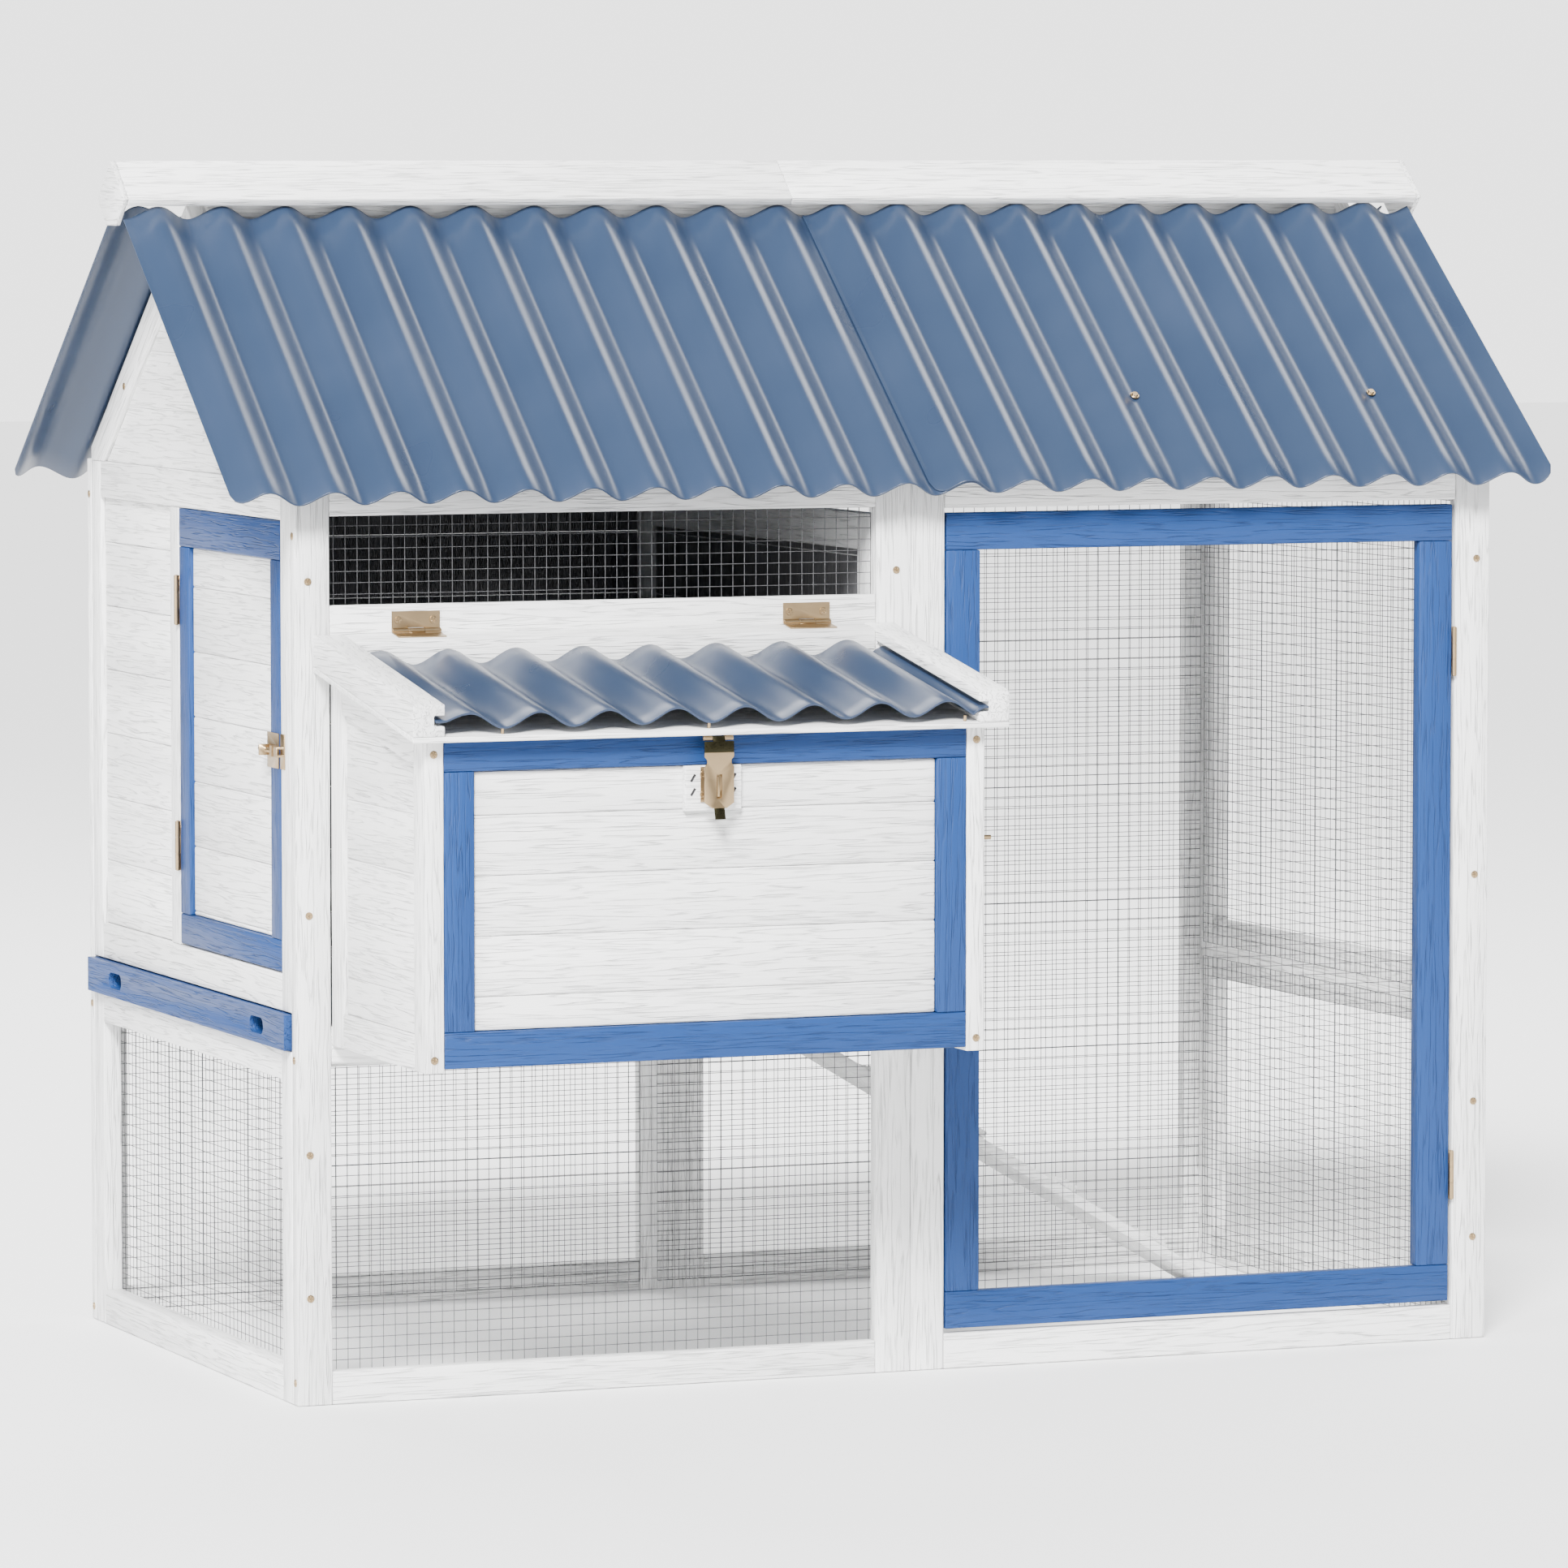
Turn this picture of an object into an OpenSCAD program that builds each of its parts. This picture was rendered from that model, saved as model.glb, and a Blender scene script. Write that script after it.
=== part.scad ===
// Chicken coop: raised timber house with a nest box and a mesh run under one corrugated roof.
// Millimetres. +X runs along the front to the right, +Y to the back, +Z up.
// Origin: middle of the bounding box, on the ground.

/* [Body] */
// Width of the timber body along the front
body_w = 1350; // [1200:10:1700]
// Depth of the timber body, front face to back face
body_d = 706; // [600:2:900]
// Height of the top rails of all walls
wall_h = 942; // [900:2:1200]
// Height of the lower panels, which carry the house
lower_h = 362; // [300:2:440]
// Width of the house, from the left side to the seam between the front panels
house_w = 677.5; // [600:0.5:800]

/* [Timber] */
// Thickness of the front and back frames
front_t = 15; // [12:1:22]
// Thickness of the side frames
side_t = 20; // [16:1:26]
// Width of the posts
post_w = 37.4; // [30:0.1:45]
// Height of the bottom rails
sill_h = 35; // [25:1:45]
// Height of the other rails
rail_h = 38; // [30:1:45]
// Thickness of the siding boards
board_t = 8; // [6:0.5:12]
// Height of one siding board
board_h = 69.2; // [50:0.1:90]
// How far the siding sits behind the face of its frame
board_set = 5; // [3:0.5:7]

/* [Roof] */
// Slope of the roof
roof_angle = 38; // [30:1:45]
// Height of the underside of the roof sheets over the front and back faces
eave_h = 947.2; // [946:0.1:960]
// Roof sheet past the front and back faces, measured level
eave_out = 35; // [20:1:60]
// Roof sheet past the left side
verge_left = 75.4; // [50:0.1:100]
// Roof sheet past the right side
verge_right = 58; // [40:1:90]
// Width of one wave of the sheets
wave_w = 69.6; // [60:0.1:80]
// Height of one wave of the roof sheets
wave_h = 17; // [10:0.5:20]
// Thickness of the sheets
sheet_t = 2; // [1:0.1:2.2]
// Waves in the left roof sheets
left_waves = 12; // [10:1:13]
// Ridge cap past the left side
cap_left = 82; // [78:1:120]
// Ridge cap past the right side
cap_right = 68; // [66:1:120]
// Slope of the ridge cap's boards over that of the roof
cap_steeper = 3; // [0:1:6]
// Width of one board of the ridge cap
cap_w = 61.7; // [50:0.1:80]
// Thickness of the ridge cap's boards
cap_t = 10; // [8:0.5:11]

/* [Doors] */
// Height of the bottom of the run door
run_door_z = 42; // [38:1:60]
// Thickness of the run door
run_door_t = 15; // [12:1:22]
// Front edge of the side door, from the front face
side_door_y = 47; // [45:1:70]
// Width of the side door
side_door_w = 334; // [260:1:380]
// Gap between a door and its frame
door_gap = 2; // [1.5:0.5:3]

/* [Nest box] */
// How far the nest box stands out from the front
nest_out = 286.6; // [220:0.2:330]
// Height of the bottom of the nest box
nest_z = 368.5; // [360:0.5:380]
// Height of the lid's underside at the wall
lid_z = 750; // [700:1:760]
// Slope of the lid
lid_angle = 9.8; // [6:0.1:15]
// Lid past the front of the nest box
lid_over = 19.4; // [12:0.2:30]
// Lid past each side of the nest box
lid_side = 19; // [10:1:30]
// Height of the lid's rails over its deck
lid_rail_h = 32; // [26:1:36]
// Height of one wave of the lid's sheet
lid_wave_h = 15.4; // [10:0.1:17]
// Middle of the hasp, to the right of the middle of the box
hasp_off = 4; // [0:1:20]

/* [Tray and ramp] */
// Height of the tray's front board
tray_h = 36.5; // [30:0.5:38]
// Depth of the tray's front board in front of the left wall
tray_out = 8; // [4:1:20]
// Slope of the ramp
ramp_angle = 30.8; // [24:0.1:34]
// Width of the ramp
ramp_w = 110; // [80:1:180]

/* [Hidden] */

// Colours
paint_white = "whitesmoke";
paint_blue = [0.29, 0.47, 0.72];
sheet_blue = [0.36, 0.47, 0.60];
brass = [0.80, 0.70, 0.54];
wire_grey = [0.45, 0.45, 0.45];

// Clearances
fit = 0.3;          // between pieces that are set against each other
mesh_t = 0.3;       // thickness of a mesh panel's stand-in plate
mesh_lap = 24;      // how far a mesh panel laps onto its frame
leaf_gap = 3.8;     // room beside a post for the two leaves of a door hinge

// Levels
post_top = wall_h + 2;
top_rail_z = 908;
house_z = lower_h + 39.5;           // underside of the house's side wall
board_z = house_z + rail_h;         // lowest siding board of the side wall
door_top = top_rail_z - 5.1;        // top of the door openings
sill_z = lid_z + 29;                // underside of the rail over the nest box's lid
sill_top = sill_z + rail_h;
floor_rail_z = lower_h - 12;        // underside of the rail behind the bottom of the nest box

// Places along X
mid_post_x = house_w - 39.8;        // left edge of the post at the partition
run_post_x = house_w;
run_post_r = house_w + 37.8;        // right edge of the run's first post
last_post_x = body_w - 40.6;
side_x = body_w - side_t;           // inner face of the right side
part_x = mid_post_x + fit;          // left face of the partition

// Places along Y
back_y = body_d - front_t;          // inner face of the back frames
mid_y = body_d / 2;
panel_y0 = front_t + fit;           // the side panels run from here
panel_y1 = back_y - fit;            // to here
stile_w = 32.7;                     // width of the side panels' stiles
door_y1 = side_door_y + side_door_w;
jamb_y = door_y1 + leaf_gap;            // hinge side of the side door's opening
jamb_w = 27.5;

// Roof lines
slope = tan(roof_angle);
cap_angle = roof_angle + cap_steeper;
ridge_h = eave_h + mid_y * slope;       // underside of the sheets, carried on to the middle
function roof_z(y) = ridge_h - abs(y - mid_y) * slope;
sheet_top_y = mid_y - 23;           // where the sheets stop below the ridge cap
sheet_len = (sheet_top_y + eave_out) / cos(roof_angle);
lap_up = sheet_t + 0.2;             // the right sheets lie this far over the left ones
right_start = (left_waves - 1) * wave_w - 3 - verge_left;
roof_right = body_w + verge_right;
cap_crown = ridge_h + 44.6;           // top edge of the ridge cap
back_reach = body_d + eave_out + (wave_h + sheet_t + lap_up) * sin(roof_angle);

// Nest box and lid
nest_x0 = post_w + 0.6;
nest_x1 = mid_post_x - 0.2;
nest_side = 19.5;                   // thickness of the nest box's sides
nest_stile = 35;
nest_board_h = 60.1;
lid_slope = tan(lid_angle);
deck_t = 6;
function lid_under(y) = lid_z + y * lid_slope;
lid_top = lid_z + deck_t + lid_rail_h;
lid_front = nest_out + lid_over;
lid_rail_w = 33.3;
lid_x0 = nest_x0 - lid_side;
lid_x1 = nest_x1 + lid_side;
lid_back = 1;                       // gap between the lid and the wall
hasp_x = (nest_x0 + nest_x1) / 2 + hasp_off;

// Hinges: one size of leaf throughout
leaf_w = 52;
leaf_l = 19;
leaf_t = 1;
pin_r = 1.5;
bore_r = pin_r + 0.06;
knuckle_r = 2.6;
knuckle_gap = 0.4;

// Hinge axes
run_axis_x = last_post_x - leaf_gap / 2;
run_axis_y = -knuckle_r;
run_hinges_z = [178.6, 743];
side_axis_y = door_y1 + leaf_gap / 2;
side_axis_x = -knuckle_r;
side_hinges_z = [545, 805];
lid_axis_y = -knuckle_r - 0.4;
lid_axis_z = lid_top + knuckle_r - 0.3;
lid_hinges_x = [nest_x0 + 91.6, nest_x1 - 78.5];
hasp_pin_r = 1;
hasp_t = 1.2;
hasp_axis_y = -lid_front + 3.4;
hasp_axis_z = lid_under(hasp_axis_y) - 3.2;
hasp_out = 3.6;                     // face of the strap in front of its pin
hasp_tip = 3.2;                     // the tip is bent out this far
staple_out = lid_front - 1.5;       // front of the staple, just behind the hanging strap

// Tray
tray_z0 = lower_h + 1.5;
tray_y0 = panel_y0 + 1.3;
tray_y1 = panel_y1 - 1.3;
tray_board_t = 18;
pan_t = 1;
pan_x1 = part_x - 4;
pan_y0 = tray_y0 + 4;
pan_y1 = tray_y1 - 4;
pan_z0 = lower_h + 0.4;
pan_h = 27;
slot_len = 44;
slot_h = 17;
finger_room = 24;

// Doors
run_door_x0 = run_post_r + door_gap;
run_door_x1 = last_post_x - leaf_gap;
run_rail_h = 39;
run_stile_w = 38.5;
side_door_z0 = board_z + door_gap;
side_door_z1 = door_top - door_gap / 2;
side_rail_h = 32;
side_door_t = 16;
bolt_r = 2.5;
side_bolt_z = 667;
run_bolt_z = 560;
bolt_travel = 14;
side_bolt_l = 36;
side_bolt_h = 36;
run_bolt_l = 32;
run_bolt_h = 26;

// Ramp and pop hole
ramp_mid_y = mid_y + 133;
pop_y0 = ramp_mid_y - 106;
pop_y1 = ramp_mid_y + 106;
pop_top = 690;
ramp_t = 12;
ramp_x0 = part_x + side_t + 2.2;
ramp_top_z = lower_h - 5;
ramp_len = (ramp_top_z - ramp_t * cos(ramp_angle)) / sin(ramp_angle) - 1;
cleat_pitch = 128;

// Middle of the whole object, seen from above
origin_x = (body_w + cap_right - cap_left) / 2;
origin_y = (back_reach - (lid_front - 3.4 + hasp_out + hasp_tip)) / 2;

// ---------- building blocks ----------

module place() translate([-origin_x, -origin_y, 0]) children();

// A block between two corners
module block(a, b) translate(a) cube(b - a);

// An outline in the Y-Z plane, carried along X
module along_x(x0, x1, outline)
    translate([x0, 0, 0]) rotate([90, 0, 90]) linear_extrude(x1 - x0) polygon(outline);

// The same thing on the far side of the ridge
module at_back() translate([0, body_d, 0]) mirror([0, 1, 0]) children();

// Local frame of the front slope: Y up the slope, Z out of it, from the eave's underside
module on_slope() translate([0, -eave_out, roof_z(-eave_out)]) rotate([roof_angle, 0, 0]) children();

// Rails of a front or back frame, each [bottom, top], between two posts
module front_rails(x0, x1, y, rails)
    for (r = rails) block([x0 + fit, y, r[0]], [x1 - fit, y + front_t, r[1]]);

// Frame of a side panel: two stiles and rails, each [bottom, top]
module side_frame(x, z0, z1, rails) {
    block([x, panel_y0, z0], [x + side_t, panel_y0 + stile_w, z1]);
    block([x, panel_y1 - stile_w, z0], [x + side_t, panel_y1, z1]);
    for (r = rails)
        block([x, panel_y0 + stile_w + fit, r[0]], [x + side_t, panel_y1 - stile_w - fit, r[1]]);
}

// Levels of the seams between two heights, for boards of a given height whose seams pass a level
function seams(z0, z1, level, pitch) =
    let (first = level + ceil((z0 + 4 - level) / pitch) * pitch)
    concat([z0], [for (z = first; z < z1 - 4; z = z + pitch) z], [z1]);

// Siding boards that fill a height; the children draw the strip [bottom, top]
module siding(z0, z1, level, pitch, a, b) {
    s = seams(z0, z1, level, pitch);
    for (i = [0 : len(s) - 2])
        block([a[0], a[1], s[i] + fit / 2], [b[0], b[1], s[i + 1] - fit / 2]);
}

// Outline of a corrugated sheet that starts in a trough
function wave(u, h) =
    let (i = floor(8 * u / wave_w))
    let (t = 8 * u / wave_w - i)
    h * (1 - (1 - t) * cos(45 * i) - t * cos(45 * i + 45)) / 2;
function sheet_outline(u0, u1, h) =
    let (step = wave_w / 8)
    let (mid = [for (i = [floor(u0 / step) + 1 : ceil(u1 / step) - 1]) i * step])
    let (us = concat([u0], mid, [u1]))
    concat([for (u = us) [u, wave(u, h)]],
           [for (i = [len(us) - 1 : -1 : 0]) [us[i], wave(us[i], h) + sheet_t]]);

// Corrugated roof sheet on the front slope, between two places along X
module roof_sheet(x0, x1, up)
    color(sheet_blue) on_slope()
        translate([-verge_left, sheet_len, up]) rotate([90, 0, 0])
            linear_extrude(sheet_len)
                polygon(sheet_outline(x0 + verge_left, x1 + verge_left, wave_h));

// Countersunk screw head on a face, pointing along -Y
module screw_front(x, z, y = 0)
    translate([x, y, z]) rotate([90, 0, 0]) cylinder(h = 1.2, r1 = 4, r2 = 3.4, $fn = 24);

// The same on the left side, pointing along -X
module screw_left(y, z)
    translate([0, y, z]) rotate([0, -90, 0]) cylinder(h = 1.2, r1 = 4, r2 = 3.4, $fn = 24);

// Butt hinge along its own Z axis, centred on the axis. Leaf A has the outer knuckles, leaf B
// the middle one; each leaf is drawn by itself, with the plate in the plane of its children.
module knuckles(outer) {
    third = leaf_w / 3;
    for (i = outer ? [-1, 1] : [0])
        translate([0, 0, i * third - third / 2 + knuckle_gap / 2])
            difference() {
                cylinder(h = third - knuckle_gap, r = knuckle_r, $fn = 24);
                translate([0, 0, -1]) cylinder(h = third + 2, r = bore_r, $fn = 24);
            }
}
module hinge_pin() translate([0, 0, -leaf_w / 2 - 0.6]) cylinder(h = leaf_w + 1.2, r = pin_r, $fn = 24);

// ---------- front and back frames ----------

module front_left_frame() color(paint_white) place() {
    block([0, 0, 0], [post_w, front_t, post_top]);
    block([mid_post_x, 0, 0], [house_w - fit / 2, front_t, post_top]);
    front_rails(post_w, mid_post_x, 0,
        [[0, sill_h - 1], [floor_rail_z, floor_rail_z + rail_h], [sill_z, sill_top], [top_rail_z, post_top]]);
}

module front_right_frame() color(paint_white) place() {
    block([run_post_x + fit / 2, 0, 0], [run_post_r, front_t, post_top]);
    block([last_post_x, 0, 0], [body_w, front_t, post_top]);
    front_rails(run_post_r, last_post_x, 0, [[0, sill_h + 2], [door_top + 2.6, post_top]]);
}

module back_left_frame() color(paint_white) place() {
    block([0, back_y, 0], [post_w, body_d, post_top]);
    block([mid_post_x, back_y, 0], [house_w - fit / 2, body_d, post_top]);
    front_rails(post_w, mid_post_x, back_y,
        [[0, sill_h - 1], [lower_h, lower_h + rail_h], [top_rail_z, post_top]]);
}

module back_right_frame() color(paint_white) place() {
    block([run_post_x + fit / 2, back_y, 0], [run_post_r, body_d, post_top]);
    block([last_post_x, back_y, 0], [body_w, body_d, post_top]);
    front_rails(run_post_r, last_post_x, back_y, [[0, sill_h + 2], [top_rail_z, post_top]]);
}

module back_wall_boards() color(paint_white) place()
    siding(lower_h + rail_h + fit, top_rail_z - fit, board_z, board_h,
        [post_w + fit, body_d - board_set - board_t], [mid_post_x - fit, body_d - board_set]);

// ---------- side walls ----------

module left_lower_frame() color(paint_white) place()
    side_frame(0, 0, lower_h, [[0, sill_h + 2], [lower_h - 31, lower_h]]);

module right_lower_frame() color(paint_white) place()
    side_frame(side_x, 0, lower_h, [[0, sill_h + 2], [lower_h - 31, lower_h]]);

module right_upper_frame() color(paint_white) place()
    side_frame(side_x, lower_h + fit, wall_h, [[lower_h + fit, lower_h + sill_h], [top_rail_z - 6, wall_h]]);

// Left upper wall: the door's opening lies between the front stile and the jamb
module left_upper_frame() color(paint_white) place() {
    y0 = side_door_y - door_gap + 0.5;
    y1 = panel_y1 - stile_w;
    block([0, panel_y0, house_z], [side_t, y0, wall_h]);
    block([0, y1, house_z], [side_t, panel_y1, wall_h]);
    block([0, y0 + fit, house_z], [side_t, y1 - fit, board_z]);
    block([0, y0 + fit, door_top], [side_t, y1 - fit, wall_h]);
    block([0, jamb_y, board_z + fit], [side_t, jamb_y + jamb_w, door_top - fit]);
}

module left_wall_boards() color(paint_white) place()
    siding(board_z + fit, door_top - fit, board_z, board_h,
        [board_set, jamb_y + jamb_w + fit], [board_set + board_t, panel_y1 - stile_w - fit]);

// Gable over a side wall: two rakes that meet at the ridge, and boards between them
rake_drop = rail_h / cos(roof_angle);
function rake_top(y) = roof_z(y) - 2;
function rake_under(y) = rake_top(y) - rake_drop;
rake_foot = wall_h + fit;
rake_foot_y = mid_y - (rake_under(mid_y) - rake_foot) / slope;

module gable_rake_pair(x) {
    outline = [[panel_y0, rake_foot], [rake_foot_y, rake_foot], [mid_y - fit / 2, rake_under(mid_y - fit / 2)],
        [mid_y - fit / 2, rake_top(mid_y - fit / 2)], [panel_y0, rake_top(panel_y0)]];
    along_x(x, x + side_t, outline);
    at_back() along_x(x, x + side_t, outline);
}

module gable_boards(x) color(paint_white) place() {
    top = rake_under(mid_y) - 2 * fit;
    s = seams(rake_foot, top, board_z + 7 * board_h + 17.8, 61.6);
    for (i = [0 : len(s) - 2]) {
        z0 = s[i] + fit / 2;
        z1 = s[i + 1] - fit / 2;
        half0 = (top - z0) / slope;
        half1 = (top - z1) / slope;
        along_x(x, x + board_t, [[mid_y - half0, z0], [mid_y + half0, z0], [mid_y + half1, z1], [mid_y - half1, z1]]);
    }
}

module gable_rakes() color(paint_white) place() {
    gable_rake_pair(0);
    gable_rake_pair(side_x);
}
module left_gable_boards() gable_boards(board_set);
module right_gable_boards() gable_boards(body_w - board_set - board_t);

// ---------- partition, floor supports and ramp ----------

module partition_frame() color(paint_white) place() {
    x1 = part_x + side_t;
    top = 900;
    low = lower_h + rail_h;
    y0 = panel_y0 + rail_h;
    y1 = panel_y1 - rail_h;
    block([part_x, panel_y0, lower_h + fit], [x1, y0, top]);
    block([part_x, y1, lower_h + fit], [x1, panel_y1, top]);
    block([part_x, y0 + fit, lower_h + fit], [x1, y1 - fit, low]);
    block([part_x, y0 + fit, top - rail_h], [x1, y1 - fit, top]);
    block([part_x, y0 + fit, pop_top], [x1, y1 - fit, pop_top + rail_h]);
    block([part_x, pop_y0 - rail_h, low + fit], [x1, pop_y0, pop_top - fit]);
    block([part_x, pop_y1, low + fit], [x1, y1 - fit, pop_top - fit]);
}

module partition_boards() color(paint_white) place() {
    x0 = part_x + board_set;
    y0 = panel_y0 + rail_h + fit;
    y1 = panel_y1 - rail_h - fit;
    siding(lower_h + rail_h + fit, pop_top - fit, board_z, board_h,
        [x0, y0], [x0 + board_t, pop_y0 - rail_h - fit]);
    siding(pop_top + rail_h + fit, 900 - rail_h - fit, board_z, board_h, [x0, y0], [x0 + board_t, y1]);
}

// Battens that carry the tray, one on each long side of the house
module tray_runners() color(paint_white) place() {
    block([side_t + 1, panel_y0 + mesh_t + fit, lower_h - 17], [mid_post_x - 1, panel_y0 + 20, lower_h]);
    block([side_t + 1, panel_y1 - 20, lower_h - 17], [mid_post_x - 1, panel_y1 - mesh_t - fit, lower_h]);
}

// Local frame of the ramp: X down the slope from its top edge, Z out of its upper face
module on_ramp() translate([ramp_x0, ramp_mid_y, ramp_top_z]) rotate([0, ramp_angle, 0]) children();

module ramp_board() color(paint_white) place() on_ramp()
    translate([0, -ramp_w / 2, -ramp_t]) cube([ramp_len, ramp_w, ramp_t]);

module ramp_cleats() color(paint_white) place() on_ramp()
    for (u = [60 : cleat_pitch : ramp_len - 30])
        translate([u, -ramp_w / 2, 0.1]) cube([18, ramp_w, 8]);

// Two strips that hang the ramp on the rail under the pop hole
module ramp_hooks() color(brass) place() {
    x1 = part_x + side_t;
    top = lower_h + rail_h + 0.1;
    for (y = [-36, 16]) {
        block([x1 + 0.1, ramp_mid_y + y, ramp_top_z + 0.5], [x1 + 1.3, ramp_mid_y + y + 20, top + 1.2]);
        block([x1 - 16, ramp_mid_y + y, top], [x1 + 0.7, ramp_mid_y + y + 20, top + 1.2]);
        on_ramp() translate([-1.6, y, 0.1]) cube([26, 20, 1.2]);
    }
}

// ---------- mesh panels (each a plate that stands for welded wire mesh) ----------

module mesh_front(x0, x1, z0, z1) block([x0, front_t + 0.1, z0], [x1, front_t + 0.1 + mesh_t, z1]);
module mesh_back(x0, x1, z0, z1) block([x0, back_y - 0.1 - mesh_t, z0], [x1, back_y - 0.1, z1]);
module mesh_side(x, z0, z1) block([x, panel_y0 + 9, z0], [x + mesh_t, panel_y1 - 9, z1]);
inner_x0 = side_t + fit + mesh_t + 0.4;   // clear of the left panels and their mesh
inner_x1 = part_x - fit;

module vent_mesh() color(wire_grey) place()
    mesh_front(inner_x0, inner_x1, sill_top - mesh_lap, top_rail_z + mesh_lap);
module front_mesh() color(wire_grey) place()
    mesh_front(inner_x0, mid_post_x + mesh_lap, 10, lower_h - 18);
module back_left_mesh() color(wire_grey) place()
    mesh_back(inner_x0, inner_x1, 10, lower_h + 20);
module back_right_mesh() color(wire_grey) place()
    mesh_back(part_x + side_t + 1, side_x - 1.2, 10, top_rail_z + mesh_lap);
module left_mesh() color(wire_grey) place() mesh_side(side_t + 0.1, 10, lower_h - 20);
module right_meshes() color(wire_grey) place() {
    mesh_side(side_x - 0.1 - mesh_t, 10, lower_h - 8);
    mesh_side(side_x - 0.1 - mesh_t, lower_h + 8, top_rail_z + 16);
}

// ---------- roof ----------

module ridge_beam() color(paint_white) place() {
    half = 10;
    crown = cap_crown - cap_t / cos(cap_angle) - fit;
    along_x(side_t + fit, side_x - fit, [[mid_y - half, rake_under(mid_y)], [mid_y + half, rake_under(mid_y)],
        [mid_y + half, crown - half * tan(cap_angle)], [mid_y, crown], [mid_y - half, crown - half * tan(cap_angle)]]);
}

purlin_s = (mid_y - 268.5 + eave_out) / cos(roof_angle);
module purlin() on_slope()
    block([side_t + fit, purlin_s - 15, -20.3], [side_x - fit, purlin_s + 15, -fit]);
module roof_purlins() color(paint_white) place() {
    purlin();
    at_back() purlin();
}

left_end = -verge_left + left_waves * wave_w + 3;
module roof_sheet_front_left() place() roof_sheet(-verge_left, left_end, 0);
module roof_sheet_front_right() place() roof_sheet(right_start, roof_right, lap_up);
module roof_sheet_back_left() place() at_back() roof_sheet(-verge_left, left_end, 0);
module roof_sheet_back_right() place() at_back() roof_sheet(right_start, roof_right, lap_up);

// Screws through the troughs of the right sheets into the purlins
module roof_screw(x) on_slope() {
    low = lap_up + sheet_t + wave(5, wave_h) + 0.1;
    translate([x, purlin_s, low]) cylinder(h = 1.5, r = 5, $fn = 24);
    translate([x, purlin_s, low + 1.5]) cylinder(h = 2, r = 3.2, $fn = 24);
}
module roof_screws() color(brass) place()
    for (x = [for (w = [left_waves + 3, left_waves + 7]) -verge_left + w * wave_w]) {
        roof_screw(x);
        at_back() roof_screw(x);
    }

// Ridge cap: two boards to a side, butted at the middle, and a plate over each end
module cap_board(x0, x1) {
    drop = cap_t / cos(cap_angle);
    low_y = mid_y - cap_w * cos(cap_angle);
    low_z = cap_crown - cap_w * sin(cap_angle);
    along_x(x0, x1, [[mid_y - fit / 2, cap_crown], [low_y, low_z],
        [low_y + cap_t * sin(cap_angle), low_z - cap_t * cos(cap_angle)], [mid_y - fit / 2, cap_crown - drop]]);
}
end_t = 5.8;
module cap_side() {
    cap_board(-cap_left + end_t + 0.1, origin_x - fit / 2);
    cap_board(origin_x + fit / 2, body_w + cap_right - end_t - 0.1);
}
module ridge_cap_front() color(paint_white) place() cap_side();
module ridge_cap_back() color(paint_white) place() at_back() cap_side();

module ridge_end_plates() color(paint_white) place() {
    half = cap_w * cos(cap_angle);
    low_z = cap_crown - cap_w * sin(cap_angle);
    outline = [[mid_y, cap_crown], [mid_y - half, low_z], [mid_y - 16.3, low_z - 27.5],
        [mid_y + 16.3, low_z - 27.5], [mid_y + half, low_z]];
    along_x(-cap_left, -cap_left + end_t, outline);
    along_x(body_w + cap_right - end_t, body_w + cap_right, outline);
}

// ---------- nest box ----------

nest_back = -fit;
nest_inner = -nest_out + nest_stile;
module nest_side_frame(x) {
    function top(y) = lid_under(y) - 0.5;
    y_front = -nest_out;
    y_rear = nest_back - nest_stile;
    along_x(x, x + nest_side, [[y_front, nest_z], [nest_inner, nest_z], [nest_inner, top(nest_inner)], [y_front, top(y_front)]]);
    along_x(x, x + nest_side, [[y_rear, nest_z], [nest_back, nest_z], [nest_back, top(nest_back)], [y_rear, top(y_rear)]]);
    along_x(x, x + nest_side, [[nest_inner + fit, nest_z], [y_rear - fit, nest_z],
        [y_rear - fit, nest_z + nest_stile], [nest_inner + fit, nest_z + nest_stile]]);
    along_x(x, x + nest_side, [[nest_inner + fit, top(nest_inner) - nest_stile], [y_rear - fit, top(y_rear) - nest_stile],
        [y_rear - fit, top(y_rear)], [nest_inner + fit, top(nest_inner)]]);
}
module nest_side_frames() color(paint_white) place() {
    nest_side_frame(nest_x0);
    nest_side_frame(nest_x1 - nest_side);
}

nest_seam = 442.4;
module nest_side_siding(x) {
    y0 = nest_inner + fit;
    y1 = nest_back - nest_stile - fit;
    function under(y) = lid_under(y) - 0.5 - nest_stile - fit;
    intersection() {
        siding(nest_z + nest_stile + fit, under(y1), nest_seam, nest_board_h, [x, y0], [x + board_t, y1]);
        along_x(x - 1, x + board_t + 1, [[y0, nest_z], [y1, nest_z], [y1, under(y1)], [y0, under(y0)]]);
    }
}
module nest_side_boards() color(paint_white) place() {
    nest_side_siding(nest_x0 + board_set);
    nest_side_siding(nest_x1 - board_set - board_t);
}

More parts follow.
